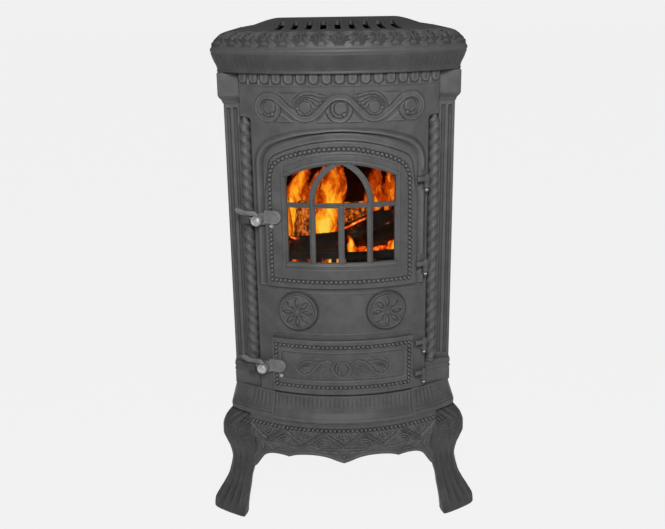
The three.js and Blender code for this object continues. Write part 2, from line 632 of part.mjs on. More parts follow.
// One leg; `grow` widens every section for the clearance cut in the aprons.
function leg(side, rear, grow = 0) {
  const turn = LEG.turn * RAD;
  const front = rear ? -1 : 1;
  const rings = LEG_SECTIONS.map(({ z, x, depth, w, t }, i) => {
    const wide = w + grow;
    const back = t + grow;
    const half = wide * 0.55;
    const section = [
      ...LEG_FRONT.map(([share, recess]) => [share * wide, grow - recess]),
      [wide * 0.9, -back * 0.4], [half, -back], [-half, -back], [-wide * 0.9, -back * 0.4],
    ];
    const centreX = rear ? x - LEG.rearInset : x;
    const centreY = yAt(rear ? LEG.mirrorDepth - depth : depth);
    const level = i === LEG_SECTIONS.length - 1 ? z + grow : z;
    return section.map(([u, d]) => new THREE.Vector3(
      side * (centreX + Math.cos(turn) * u + Math.sin(turn) * d),
      centreY + front * (Math.sin(turn) * u - Math.cos(turn) * d), level));
  });
  return skin(rings, false);
}

// Lower edge of the front apron: half of a symmetric scalloped outline, [x, z] from the centre.
function apronEdge(halfWidth, topZ) {
  const right = new THREE.Path();
  right.moveTo(0, 152);
  right.quadraticCurveTo(12, 156, 22, 161);
  right.quadraticCurveTo(45, 170, 76, 165);
  right.quadraticCurveTo(88, 163, 97, 158);
  right.quadraticCurveTo(110, 161, 122, 159.5);
  right.quadraticCurveTo(138, 158, 147, 145);
  right.lineTo(160, 124);
  right.lineTo(halfWidth, 122);
  const half = right.getPoints(4).map((p) => [p.x, p.y]);
  const left = half.slice(1).reverse().map(([x, z]) => [-x, z]);
  return polygon([...left, ...half, [halfWidth, topZ], [-halfWidth, topZ]]);
}

function aprons() {
  const { z1, outer, inner } = SKIRT;
  const low = 120;
  const steps = { front: 16, corner: 4, side: 1, back: 1 };
  const ring = moulding([
    [outer, z1], [outer, low], [inner, low], [inner, z1],
  ], steps);
  const clear = [[-1, 0], [1, 0], [-1, 1], [1, 1]].map(([side, rear]) => leg(side, rear, 0.5));
  const open = cut(ring, ...clear);
  const frontEdge = through(apronEdge(164, z1 + 1), yAt(-40), yAt(86));
  const sideEdge = across(sideApronEdge(yAt(100), yAt(340)), -210, 210);
  const rearEdge = through(rectangle(-190, 190, SKIRT.z0, z1 + 1), yAt(360), yAt(400));
  return {
    apron_front: common(open, frontEdge),
    apron_left: common(common(open, sideEdge), block(-205, -150, yAt(100), yAt(340), low, 240)),
    apron_right: common(common(open, sideEdge), block(150, 205, yAt(100), yAt(340), low, 240)),
    apron_rear: common(open, rearEdge),
  };
}

// Lower edge of a side apron between two legs.
function sideApronEdge(y0, y1) {
  const mid = (y0 + y1) / 2;
  const shape = new THREE.Shape();
  shape.moveTo(y0, 240);
  shape.lineTo(y0, 186);
  shape.quadraticCurveTo(y0 + 50, 174, y0 + 70, 172);
  shape.quadraticCurveTo(mid - 20, 178, mid, 168);
  shape.quadraticCurveTo(mid + 20, 178, y1 - 70, 172);
  shape.quadraticCurveTo(y1 - 50, 174, y1, 186);
  shape.lineTo(y1, 240);
  return shape;
}

// ---------------------------------------------------------------- loading door
function doorPlate(shape, rib, ribHole, hinges) {
  const plate = bowPiece(DOOR.back, DOOR.front, shape(0));
  const ring = cut(
    bowPiece(-DOOR.ribDepth, DOOR.back + 1, rib), bowPiece(-DOOR.ribDepth - 2, DOOR.back + 3, ribHole));
  return join(plate, ring, ...hinges.map(doorLug));
}

// Openings of the window between the tracery bars.
function panes() {
  const { halfWidth, z0, barZ, springZ } = WINDOW;
  const { pointed, bar, mullion, centreMullion } = TRACERY;
  const side = halfWidth / 2 + centreMullion / 4 - mullion / 2;
  const lower = [
    [-halfWidth, -side - mullion], [-side, -centreMullion / 2],
    [centreMullion / 2, side], [side + mullion, halfWidth],
  ].map(([x0, x1]) => rectangle(x0, x1, z0, barZ));
  const y = [yAt(-40), yAt(60)];
  const window = through(windowShape(0), ...y, 8);
  const upper = common(window, through(rectangle(-100, 100, springZ, 700), ...y));
  const centreX = pointed - (side + 0.5);
  const circle = (x, r) => through(disc(x, springZ, r), ...y, 24);
  const point = common(common(upper, circle(centreX, pointed)), circle(-centreX, pointed));
  const shoulders = cut(upper, join(circle(centreX, pointed + bar), circle(-centreX, pointed + bar)));
  const belowPoint = through(rectangle(-side - mullion, side + mullion, springZ, springZ + 1), ...y);
  return [...lower.map((shape) => through(shape, ...y)), point, cut(shoulders, belowPoint)];
}

function loadDoor() {
  const door = doorPlate(
    loadDoorShape, loadDoorShape(-DOOR.ribOut), loadDoorShape(-DOOR.ribIn), LOAD_DOOR.hinges);
  // The tracery lies 2 mm below the face round it.
  const recess = bowPiece(DOOR.front - 2, DOOR.front + 3, windowShape(2.5));
  return cut(door, recess, ...panes());
}

function glassGasket() {
  return cut(
    bowPiece(GLASS.front + GAP, DOOR.back - GAP, windowShape(GLASS.lap)),
    bowPiece(GLASS.front - 1, DOOR.back + 1, windowShape(2)));
}

function glassClip(side) {
  const frame = bowFrame(side * Math.asin(100 / BOW.radius), 590);
  const back = -DOOR.ribDepth - GAP;
  const bar = onFrame(frame, rectangle(-9, 11, -11, 11), back - 4.2, back - 0.8);
  const pad = onFrame(frame, side > 0 ? rectangle(-9, -4.4, -11, 11) : rectangle(4.4, 9, -11, 11),
    back - 1.6, GLASS.back - 1.2);
  return join(side > 0 ? bar : onFrame(frame, rectangle(-11, 9, -11, 11), back - 4.2, back - 0.8), pad);
}

// ---------------------------------------------------------------- ash door
function ashDoor() {
  const door = doorPlate(
    ashDoorShape, rectangle(-104.5, 104.5, 290.5, 365.5), rectangle(-96.5, 96.5, 298.5, 357.5),
    ASH_DOOR.hinges);
  const recess = bowPiece(DOOR.front - 2, DOOR.front + 3, rectangle(-100, 100, 307, 357));
  return cut(door, recess);
}

// ---------------------------------------------------------------- latches
// Drawn in the latch frame: u runs towards the right of the stove, so the handle is at -u.
function latchFrame(z) {
  return bowFrame(-LATCH.angle * RAD, z);
}

function roundedBar(x0, y0, r0, x1, y1, r1) {
  const lean = Math.atan2(y1 - y0, x1 - x0);
  const spread = Math.acos((r0 - r1) / Math.hypot(x1 - x0, y1 - y0));
  const shape = new THREE.Shape();
  shape.absarc(x0, y0, r0, lean + spread, lean - spread + 2 * Math.PI, false);
  shape.absarc(x1, y1, r1, lean - spread, lean + spread, false);
  return shape;
}

function latchBore(frame) {
  return onFrame(frame, disc(-LATCH.bolt, 0, 4.4), 0, 30, 6);
}

function latchPlate(z) {
  const frame = latchFrame(z);
  const strap = roundedBar(-LATCH.bolt, 1, 9.5, 20, 8, 10.5);
  return cut(onFrame(frame, strap, LATCH.plate, LATCH.plate + 4), latchBore(frame));
}

function latchLever(z) {
  const frame = latchFrame(z);
  const x = -LATCH.bolt;
  const handle = new THREE.Shape();
  handle.moveTo(x + 7, 4);
  handle.quadraticCurveTo(x + 8, 14, x, 15.5);
  handle.quadraticCurveTo(x - 16, 16.5, x - 30, 21.5);
  handle.quadraticCurveTo(x - 37, 25, x - 42, 26);
  handle.quadraticCurveTo(x - 46, 22, x - 41, 18.5);
  handle.quadraticCurveTo(x - 26, 10.5, x - 12, 9);
  handle.quadraticCurveTo(x - 8, 8, x - 7, 4);
  const hub = onFrame(frame, disc(x, 0, 9), LATCH.lever, LATCH.lever + 4.5, 6);
  return cut(join(hub, onFrame(frame, handle, LATCH.lever, LATCH.lever + 4.5, 3)), latchBore(frame));
}

function latchBolt(z) {
  const frame = latchFrame(z).multiply(new THREE.Matrix4().makeTranslation(-LATCH.bolt, 0, 0));
  const head = LATCH.head;
  return turnedOnFrame(frame, [
    [0, LATCH.plate - 0.2], [4, LATCH.plate - 0.2], [4, head], [8.6, head], [8.6, head + 2.6],
    [7, head + 4.2], [3.5, head + 5], [0, head + 5.2],
  ], 20);
}

// A hook screwed to the front casting: foot, body and an upturned lip in front of the lever.
function latchKeeper(z) {
  const frame = latchFrame(z);
  const x = -LATCH.bolt;
  const foot = onFrame(frame, rectangle(x - 14.5, x - 7.4, -9, 8), -0.2, LATCH.plate - 0.5);
  const stem = onFrame(frame, rectangle(x - 26, x - 12.4, -5, 5), 0.6, LATCH.lever - 0.7);
  const floor = onFrame(frame, rectangle(x - 26, x - 12.4, -5, 1), 2, LATCH.head + 4);
  const lip = onFrame(frame, rectangle(x - 26, x - 12.4, -5, 7.4), LATCH.head + 0.2, LATCH.head + 4);
  return join(foot, stem, floor, lip);
}

// ---------------------------------------------------------------- air rosettes
function airRosette(side) {
  const frame = rosetteFrame(side);
  const base = ROSETTE.bossOff + GAP;
  const top = base + ROSETTE.thick;
  const r = ROSETTE.radius;
  const wheel = turnedOnFrame(frame, [
    [0, base], [r, base], [r, top - 1], [r - 1.2, top], [r - 3, top], [r - 4, top - 1],
    [9, top - 1], [8, top], [0, top],
  ], 24);
  const bore = turnedOnFrame(frame, [[0, base - 1], [2.9, base - 1], [2.9, top + 1], [0, top + 1]], 10);
  return cut(wheel, bore, ...petals(frame, 0, base - 1, top + 1));
}

function rosetteScrew(side) {
  const top = ROSETTE.bossOff + GAP + ROSETTE.thick + GAP;
  return turnedOnFrame(rosetteFrame(side), [
    [0, -14], [2.4, -14], [2.4, top], [5, top], [4.6, top + 1.6], [2.5, top + 2.8], [0, top + 3],
  ], 12);
}

// ---------------------------------------------------------------- fire chamber
function fireBed() {
  const { z0, z1, halfWidth, hole, rebate, holeFront, holeBack } = BED;
  const sheet = raised(innerPlan(GAP + 0.7, halfWidth, 366.4), z0, z1);
  const opening = block(-hole, hole, yAt(holeFront), yAt(holeBack), z0 - 1, z1 + 1);
  const seat = block(-rebate, rebate, yAt(holeFront - 8), yAt(holeBack + 8), z1 - 8, z1 + 1);
  return cut(sheet, opening, seat, ...rodHoles(z0 - 2, z1 + 2));
}

function grate() {
  const { z1, rebate, holeFront, holeBack } = BED;
  const z0 = z1 - 8 + GAP;
  const w = rebate - 0.6;
  const [y0, y1] = [yAt(holeFront - 7.4), yAt(holeBack + 7.4)];
  const [bars, rim, slot] = [11, 12, 9];
  const pitch = (2 * (w - rim) - slot) / (bars - 1);
  const mid = (y0 + y1) / 2;
  const slots = [];
  for (let i = 0; i < bars; i += 1) {
    const x = -w + rim + i * pitch;
    slots.push(block(x, x + slot, y0 + rim, mid - 4, z0 - 1, z1 + 1));
    slots.push(block(x, x + slot, mid + 4, y1 - rim, z0 - 1, z1 + 1));
  }
  return cut(block(-w, w, y0, y1, z0, z1), ...slots);
}

function firebrick(x0, x1, depth0, depth1, z1) {
  const inset = 2;
  const z0 = BED.z1 + GAP;
  const [y0, y1] = [yAt(depth0), yAt(depth1)];
  const ring = (edge, z) => [
    [x0 + edge, y0 + edge], [x1 - edge, y0 + edge], [x1 - edge, y1 - edge], [x0 + edge, y1 - edge],
  ].map(([x, y]) => new THREE.Vector3(x, y, z));
  return skin([ring(inset, z0), ring(0, z0 + inset), ring(0, z1 - inset), ring(inset, z1)], false);
}

function baffle() {
  const [z0, z1] = [661, 667];
  const sheet = block(-BED.halfWidth, BED.halfWidth, yAt(150), yAt(366), z0, z1);
  const nose = block(-BED.halfWidth, BED.halfWidth, yAt(150), yAt(156), z1 - 1, z1 + 10);
  return cut(join(sheet, nose), ...rodHoles(z0 - 2, z1 + 2));
}

function logGuard() {
  const [z0, z1] = [BED.z1 + GAP, 512];
  const shape = new THREE.Shape();
  shape.moveTo(-126, z0);
  shape.lineTo(126, z0);
  shape.lineTo(126, z1 - 12);
  shape.quadraticCurveTo(126, z1, 114, z1);
  shape.lineTo(-114, z1);
  shape.quadraticCurveTo(-126, z1, -126, z1 - 12);
  const slots = Array.from({ length: 9 }, (_, i) =>
    block((i - 4) * 25 - 8, (i - 4) * 25 + 8, yAt(60), yAt(75), z0 + 9, z1 - 11));
  return cut(through(shape, yAt(64), yAt(69), 5), ...slots);
}

function ashPan() {
  const { halfWidth, front, back, z0, z1, wall } = PAN;
  const tub = block(-halfWidth, halfWidth, yAt(front), yAt(back), z0, z1);
  const hollow = block(-halfWidth + wall, halfWidth - wall, yAt(front + wall), yAt(back - wall), z0 + wall, z1 + 1);
  return cut(tub, hollow);
}

function ashPanKnob() {
  const frame = new THREE.Matrix4().makeBasis(
    new THREE.Vector3(1, 0, 0), new THREE.Vector3(0, 0, 1), new THREE.Vector3(0, -1, 0));
  frame.setPosition(0, yAt(PAN.front), (PAN.z0 + PAN.z1) / 2);
  return turnedOnFrame(frame, [
    [0, GAP], [6, GAP], [6, 2], [4, 3], [4, 6], [8, 9], [9, 12], [7, 15], [0, 16],
  ], 14);
}

function tieRod(x, depth) {
  const top = TOP_PLATE.z1 + GAP;
  const bottom = 268 - GAP;
  const r = ROD.radius;
  return turned([
    [0, bottom - 7], [7.5, bottom - 7], [7.5, bottom], [r, bottom], [r, top], [7.5, top],
    [7.5, top + 4], [5, top + 7], [0, top + 8],
  ], x, yAt(depth), 10);
}

// ---------------------------------------------------------------- assembly
add('base_plate', basePlate(), IRON_DARK);
add('plinth', plinth(), IRON);
add('hearth_lip', hearthLip(), IRON);
for (const [name, piece] of Object.entries(aprons())) add(name, piece, IRON);
add('leg_front_left', leg(-1, false), IRON);
add('leg_front_right', leg(1, false), IRON);
add('leg_rear_left', leg(-1, true), IRON);
add('leg_rear_right', leg(1, true), IRON);

add('front_plate', frontPlate(), IRON);
const rightPost = cornerPost();
add('corner_post_left', mirrored(rightPost), IRON_LIGHT);
add('corner_post_right', rightPost, IRON_LIGHT);
const rightTwist = twistColumn();
add('twist_column_left', mirrored(rightTwist), IRON);
add('twist_column_right', rightTwist, IRON);
const rightSide = sidePanel();
add('side_panel_left', mirrored(rightSide), IRON);
add('side_panel_right', rightSide, IRON);
add('back_panel', backPanel(), IRON);
add('flue_collar', flueCollar(), IRON);
add('top_plate', topPlate(), IRON_DARK);
add('hob_lid', hobLid(), IRON_DARK);
add('pierced_lid', piercedLid(), IRON);

add('fire_bed', fireBed(), IRON_DARK);
add('grate', grate(), IRON_DARK);
add('firebrick_left', firebrick(-172, -150, 100, 335, 660.7), BRICK);
add('firebrick_right', firebrick(150, 172, 100, 335, 660.7), BRICK);
add('firebrick_back', firebrick(-149.7, 149.7, 340, 362, 655), BRICK);
add('baffle_plate', baffle(), IRON_DARK);
add('log_guard', logGuard(), IRON_DARK);
add('ash_pan', ashPan(), IRON_DARK);
add('ash_pan_knob', ashPanKnob(), IRON_DARK);

add('door_frame', loadDoor(), IRON);
add('door_glass', bowPiece(GLASS.back, GLASS.front, windowShape(GLASS.lap)), PANE);
add('glass_gasket', glassGasket(), ROPE_SEAL);
add('glass_clip_left', glassClip(-1), IRON_DARK);
add('glass_clip_right', glassClip(1), IRON_DARK);
add('ash_door_panel', ashDoor(), IRON);
for (const [i, z] of LOAD_DOOR.hinges.entries()) add(`door_hinge_pin_${i + 1}`, hingePin(z), IRON);
for (const [i, z] of ASH_DOOR.hinges.entries()) add(`ash_hinge_pin_${i + 1}`, hingePin(z), IRON);
for (const [prefix, z] of [['door', LOAD_DOOR.latchZ], ['ash', ASH_DOOR.latchZ]]) {
  add(`${prefix}_latch_plate`, latchPlate(z), IRON_LIGHT);
  add(`${prefix}_latch_lever`, latchLever(z), IRON_LIGHT);
  add(`${prefix}_latch_bolt`, latchBolt(z), STEEL);
  add(`${prefix}_latch_keeper`, latchKeeper(z), IRON);
}
for (const [name, side] of [['left', -1], ['right', 1]]) {
  add(`air_rosette_${name}`, airRosette(side), IRON);
  add(`rosette_screw_${name}`, rosetteScrew(side), IRON);
}
for (const [i, where] of ['front', 'rear'].entries()) {
  add(`tie_rod_${where}_left`, tieRod(-ROD.x[i], ROD.depth[i]), IRON_DARK);
  add(`tie_rod_${where}_right`, tieRod(ROD.x[i], ROD.depth[i]), IRON_DARK);
}

export default stove;
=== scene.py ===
"""Potbelly stove: the looks of the cast-iron stove, built over the CAD frame in the same place.

Lengths are millimetres and turn to metres where a mesh is made. On the bowed front, t is the
distance round the bow from its middle, z the height and off the distance out of the bow.
"""

import json
import math

import bmesh
import bpy
import numpy as np
from mathutils import Matrix, Vector

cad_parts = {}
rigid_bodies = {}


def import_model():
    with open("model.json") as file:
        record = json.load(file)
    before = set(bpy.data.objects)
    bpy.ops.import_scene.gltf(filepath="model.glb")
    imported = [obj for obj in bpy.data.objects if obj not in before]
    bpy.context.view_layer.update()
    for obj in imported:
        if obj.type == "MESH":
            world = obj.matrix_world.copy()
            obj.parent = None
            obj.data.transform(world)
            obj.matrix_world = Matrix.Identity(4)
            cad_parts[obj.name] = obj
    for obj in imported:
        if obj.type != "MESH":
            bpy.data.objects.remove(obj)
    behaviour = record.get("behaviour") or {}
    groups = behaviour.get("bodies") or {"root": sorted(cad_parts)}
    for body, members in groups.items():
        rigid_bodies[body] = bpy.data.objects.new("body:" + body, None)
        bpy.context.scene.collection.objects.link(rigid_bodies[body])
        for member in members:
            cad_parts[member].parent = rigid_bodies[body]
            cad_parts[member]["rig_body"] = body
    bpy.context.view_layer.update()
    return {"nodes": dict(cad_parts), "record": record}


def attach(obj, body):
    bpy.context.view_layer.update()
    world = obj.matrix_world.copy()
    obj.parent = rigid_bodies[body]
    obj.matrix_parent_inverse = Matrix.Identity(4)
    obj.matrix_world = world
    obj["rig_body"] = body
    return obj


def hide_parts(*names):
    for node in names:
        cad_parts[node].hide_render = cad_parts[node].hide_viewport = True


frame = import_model()
MM = 0.001
STEP = 1.0  # grid step of the cast reliefs
rng = np.random.default_rng(7)

# ---------------------------------------------------------------- driving sizes
BOW_R, BOW_Y, FACE = 280.0, 79.0, -201.0  # the bowed front: radius, middle and foremost y
BODY_LOW, BODY_TOP = 277.3, 813.7
POST_BASE_TOP = 318
DOOR_HALF, DOOR_LOW, DOOR_ARCH_Z, DOOR_ARCH_R = 124.5, 470, 486.5, 238
SHOULDER_T, SHOULDER_Z, SHOULDER_R = 92.5, 670.6, 32  # the rounded ends of the door's arch
WINDOW_HALF, WINDOW_LOW, WINDOW_ARCH_Z, WINDOW_ARCH_R = 87.5, 514, 480.5, 194
BAR_Z, SPRING_Z = 605, 612.5  # top of the lower panes and foot of the upper ones
PANE_HALF, PANE_TS = 18.1, (-68.4, -23.1, 23.1, 68.4)
POINT_T, POINT_R = 25.95, 67.7  # the two arcs of the pointed middle pane
ASH_HALF, ASH_LOW, ASH_TOP, ASH_LAP = 121, 281, 379, 13
DOOR_FRONT, DOOR_BACK = 7.0, 0.5  # out of the bow
LOAD_HINGES, ASH_HINGES = (637, 495), (356, 300)
HINGE_X, HINGE_OFF = 138.5, 9.0
ROSETTE_T, ROSETTE_Z, ROSETTE_R = BOW_R * math.asin(73 / BOW_R), 427.5, 30
BOSS_T, BOSS_BORE = 73.9, 4.2
LATCH_T, BOLT_U = -BOW_R * math.radians(25.4), -11.2
LATCH_Z = {"door": 581, "ash": 322}
APRON_TOP = 228.7
SIDE_NAME = {1: "right", -1: "left"}
SLOT_OF = {p["node"]: p["material_slot"] for p in frame["record"]["subparts"]}


# ---------------------------------------------------------------- small maths
def smooth(a, b, x):
    """0 before a, 1 after b and an even curve between."""
    u = np.clip((x - a) / (b - a), 0, 1)
    return u * u * (3 - 2 * u)


def hump(x, at, width):
    """A bell curve: 1 where x is at, near 0 beyond twice the width."""
    return np.exp(-(((x - at) / width) ** 2))


def steps(a, b, size):
    """Evenly spread values from a to b, at most size apart."""
    return np.linspace(a, b, max(2, int(math.ceil((b - a) / size)) + 1))


def full_turn(count):
    """Angles all the way round, without the last one, which is the first again."""
    return np.linspace(0, 2 * np.pi, count + 1)[:-1]


def xyz(x, y, z):
    """Points from their coordinates; any of the three may be a single number."""
    return np.stack(np.broadcast_arrays(x, y, z), -1)


def on_bow(t, z, off):
    angle = t / BOW_R
    return xyz((BOW_R + off) * np.sin(angle), BOW_Y - (BOW_R + off) * np.cos(angle), z)


def arc(cx, cz, radius, start, end, count=24):
    """Points on an arc, angles in degrees; radius may be a pair, from start to end."""
    angle = np.radians(np.linspace(start, end, count))
    reach = np.linspace(radius[0], radius[1], count) if isinstance(radius, tuple) else radius
    return np.stack([cx + reach * np.cos(angle), cz + reach * np.sin(angle)], -1)


def along(points, pitch, closed=False):
    """Points at an even pitch along a line of points, with the direction of the line at each."""
    points = np.asarray(points, float)
    if closed:
        points = np.concatenate([points, points[:1]])
    leg = np.hypot(*np.diff(points, axis=0).T)
    run = np.concatenate([[0], np.cumsum(leg)])
    count = max(1, round(run[-1] / pitch))
    at = (np.arange(count) + (0 if closed else 0.5)) * run[-1] / count
    spot = np.stack([np.interp(at, run, points[:, k]) for k in (0, 1)], -1)
    ahead = np.stack([np.interp(np.minimum(at + 0.5, run[-1]), run, points[:, k]) for k in (0, 1)], -1)
    return spot, ahead - spot


def flowing(*points, count=7):
    """A smooth line through the given points."""
    p = np.asarray(points, float)
    p = np.concatenate([[2 * p[0] - p[1]], p, [2 * p[-1] - p[-2]]])
    u = np.linspace(0, 1, count, endpoint=False)[:, None]
    rows = [0.5 * (2 * b + (c - a) * u + (2 * a - 5 * b + 4 * c - d) * u**2 + (3 * b - a - 3 * c + d) * u**3)
            for a, b, c, d in zip(p, p[1:], p[2:], p[3:])]
    return np.concatenate([*rows, p[-2:-1]])


def mirrored(points, side, t=0.0, z=0.0, flat=1.0):
    """Points moved to (t, z), with side -1 turning them over left to right."""
    return np.stack([t + side * points[:, 0], z + flat * points[:, 1]], -1)


# ---------------------------------------------------------------- profiles across a strap
def rounded(q):
    return np.sqrt(np.clip(1 - q * q, 0, 1))


def rimmed(q):
    """A flat strap with a raised rim along both edges."""
    return (1 - q**8) * (0.62 + 0.38 * hump(q, 0.74, 0.17))


def leafy(q):
    """A leaf with a sunk vein."""
    return rounded(q) * (1 - 0.45 * hump(q, 0, 0.22))


class Field:
    """Heights over a grid of (t, z), carved and raised like a pattern-maker's board."""

    def __init__(self, t, z, level=0.0):
        self.t, self.z = np.asarray(t, float), np.asarray(z, float)
        self.T, self.Z = np.meshgrid(self.t, self.z, indexing="ij")
        self.h = np.full(self.T.shape, float(level))

    def near(self, points, reach):
        low, high = np.min(points, 0) - reach, np.max(points, 0) + reach
        i = np.searchsorted(self.t, [low[0], high[0]])
        j = np.searchsorted(self.z, [low[1], high[1]])
        return slice(max(i[0] - 1, 0), i[1] + 1), slice(max(j[0] - 1, 0), j[1] + 1)

    def trace(self, points, reach):
        """Distance to a line of points, and how far along the line the nearest place is."""
        points = np.asarray(points, float)
        far, share = np.full(self.h.shape, 1e6), np.zeros(self.h.shape)
        leg = np.hypot(*np.diff(points, axis=0).T)
        run = np.concatenate([[0], np.cumsum(leg)])
        for a, b, start, size in zip(points, points[1:], run, leg):
            if size < 1e-6:
                continue
            box = self.near([a, b], reach)
            x, y = self.T[box] - a[0], self.Z[box] - a[1]
            w = np.clip((x * (b - a)[0] + y * (b - a)[1]) / size**2, 0, 1)
            d = np.hypot(x - w * (b - a)[0], y - w * (b - a)[1])
            better = d < far[box]
            far[box] = np.where(better, d, far[box])
            share[box] = np.where(better, (start + w * size) / run[-1], share[box])
        return far, share

    def strap(self, points, width, high, floor=0.0, taper=(1, 1), profile=rounded, groove=0.9, deep=0.5, cut=False):
        """Lays a strap over what is there, with a thin groove beside it; cut leaves its ends square."""
        far, share = self.trace(points, width / 2 * max(taper) + groove + 1)
        far = np.where((share <= 0) | (share >= 1), 1e6, far) if cut else far
        half = width / 2 * np.interp(share, np.linspace(0, 1, len(taper)), taper)
        q = far / np.maximum(half, 0.05)
        self.h = np.where(q < 1, floor + high * profile(np.minimum(q, 1)), self.h)
        if groove:
            beside = (q >= 1) & (far < half + groove)
            sunk = floor - deep * np.sin(np.pi * np.clip((far - half) / groove, 0, 1))
            self.h = np.where(beside, np.minimum(self.h, sunk), self.h)

    def line(self, points, width, high):
        """Adds a thin raised line, or a sunk one when high is negative."""
        far, _ = self.trace(points, width)
        self.h += high * hump(far, 0, width / 2)

    def dots(self, spots, radius, high, floor=0.0, ring=0.0, deep=0.5, crown=1.0):
        """Round beads, each in its own ring-shaped groove; a low crown leaves them flat on top."""
        for spot in spots:
            box = self.near([spot], radius + ring + 1)
            d = np.hypot(self.T[box] - spot[0], self.Z[box] - spot[1])
            h = self.h[box]
            dome = np.minimum(rounded(np.minimum(d / radius, 1)), crown) / crown
            h = np.where(d < radius, floor + high * dome, h)
            if ring:
                groove = floor - deep * np.sin(np.pi * np.clip((d - radius) / ring, 0, 1))
                h = np.where((d >= radius) & (d < radius + ring), np.minimum(h, groove), h)
            self.h[box] = h

    def plate(self, corners, high):
        """Raises the inside of a polygon, with a soft edge and a groove round it."""
        corners = np.asarray(corners, float)
        far, _ = self.trace(np.concatenate([corners, corners[:1]]), 40)
        inside = np.zeros(self.h.shape, bool)
        for a, b in zip(corners, np.roll(corners, -1, 0)):
            crosses = (a[1] > self.Z) != (b[1] > self.Z)
            with np.errstate(divide="ignore", invalid="ignore"):
                where = (b[0] - a[0]) * (self.Z - a[1]) / (b[1] - a[1]) + a[0]
            inside ^= crosses & (self.T < where)
        self.h = np.where(inside, np.maximum(self.h, high * smooth(0, 1, far)), self.h)
        self.h -= np.where(~inside, 0.4 * hump(far, 0, 0.7), 0)


# ---------------------------------------------------------------- meshes
def mesh_piece(name, points, faces, body, material, nodes=(), cavity=None, sharp=42):
    """Makes a shown piece from points in millimetres; faces are four-cornered or a list of rings."""
    mesh = bpy.data.meshes.new(name)
    points = np.asarray(points, float)
    if isinstance(faces, np.ndarray):
        mesh.vertices.add(len(points))
        mesh.vertices.foreach_set("co", (points * MM).astype(np.float32).ravel())
        mesh.loops.add(faces.size)
        mesh.loops.foreach_set("vertex_index", faces.astype(np.int32).ravel())
        mesh.polygons.add(len(faces))
        mesh.polygons.foreach_set("loop_start", np.arange(0, faces.size, faces.shape[1], dtype=np.int32))
        mesh.update(calc_edges=True)
    else:
        mesh.from_pydata((points * MM).tolist(), [], [list(map(int, f)) for f in faces])
    # the relief attribute: levels of painted highlight and painted shade on the iron, heat on the flames
    if cavity is not None:
        mesh.attributes.new("relief", "FLOAT", "POINT").data.foreach_set("value", cavity.astype(np.float32))
    mesh.shade_smooth()
    mesh.set_sharp_from_angle(angle=math.radians(sharp))
    mesh.materials.append(material)
    piece = bpy.data.objects.new(name, mesh)
    bpy.context.scene.collection.objects.link(piece)
    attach(piece, body)
    if nodes:
        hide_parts(*nodes)
    return piece


def blurred(h, size):
    """h averaged over a square of about size steps."""
    pad = size // 2
    for axis in (0, 1):
        first, last = (np.repeat(h.take([end], axis), pad, axis) for end in (0, -1))
        wide = np.concatenate([first, h, last], axis)
        total = np.cumsum(np.concatenate([np.zeros_like(wide.take([0], axis)), wide], axis), axis)
        count = 2 * pad
        n = h.shape[axis]
        h = (total.take(range(count, count + n), axis) - total.take(range(n), axis)) / max(count, 1)
    return h


def sheet_piece(name, field, place, back, body, material, nodes=(), outline=None, flip=False):
    """A cast sheet: the field's heights in front, back behind, cut to where outline is below zero."""
    T, Z = field.T.copy(), field.Z.copy()
    outline = np.full(T.shape, -1.0) if outline is None else outline
    kept = (outline[:-1, :-1] + outline[1:, :-1] + outline[:-1, 1:] + outline[1:, 1:]) < 0
    ring = np.pad(kept, 1)
    around = np.stack([ring[:-1, :-1], ring[1:, :-1], ring[:-1, 1:], ring[1:, 1:]])
    used = around.any(0)
    edge = used & ~around.all(0)
    gt, gz = np.gradient(outline, field.t, field.z)
    slope = np.maximum(gt**2 + gz**2, 1e-9)
    size = max(np.diff(field.t).max(), np.diff(field.z).max()) * 1.2
    move = np.where(edge & (np.abs(outline) < size), outline / slope, 0)
    T, Z = T - move * gt, Z - move * gz
    ident = np.cumsum(used).reshape(used.shape) - 1
    count = int(used.sum())
    back = np.broadcast_to(back, T.shape)
    front_points = place(T[used], Z[used], field.h[used])
    back_points = place(T[used], Z[used], back[used])
    i, j = np.nonzero(kept)
    a, b, c, d = ident[i, j], ident[i + 1, j], ident[i + 1, j + 1], ident[i, j + 1]
    faces = [np.stack([a, b, c, d], 1), np.stack([a, d, c, b], 1) + count]
    for (di, dj), (p, q) in (((-1, 0), (a, d)), ((1, 0), (c, b)), ((0, -1), (b, a)), ((0, 1), (d, c))):
        open_side = ~ring[i + 1 + di, j + 1 + dj]
        p, q = p[open_side], q[open_side]
        faces.append(np.stack([p, q, q + count, p + count], 1))
    # relief against its blurred self: drives the painted highlight on raised work and painted shade in hollows
    cavity = np.clip(field.h - blurred(field.h, 9), -1.5, 1.5)[used]
    cavity = np.concatenate([cavity, np.zeros(count)])
    points = np.concatenate([front_points, back_points])
    piece = mesh_piece(name, points, np.concatenate(faces), body, material, nodes, cavity)
    if flip:
        piece.data.flip_normals()
    return piece


def loft_piece(name, rings, body, material, nodes=(), caps=True, cavity=None, sharp=42):
    """Joins rings of equal numbers of points, each an array (points, 3)."""
    rings = np.asarray(rings, float)
    rows, cols = rings.shape[:2]
    r, c = np.meshgrid(np.arange(rows - 1), np.arange(cols), indexing="ij")
    n = (c + 1) % cols
    quads = np.stack([r * cols + c, r * cols + n, (r + 1) * cols + n, (r + 1) * cols + c], -1).reshape(-1, 4)
    faces = quads.tolist()
    if caps:
        faces += [list(range(cols))[::-1], list(range((rows - 1) * cols, rows * cols))]
    cavity = None if cavity is None else np.asarray(cavity, float).reshape(-1)
    return mesh_piece(name, rings.reshape(-1, 3), faces, body, material, nodes, cavity, sharp)


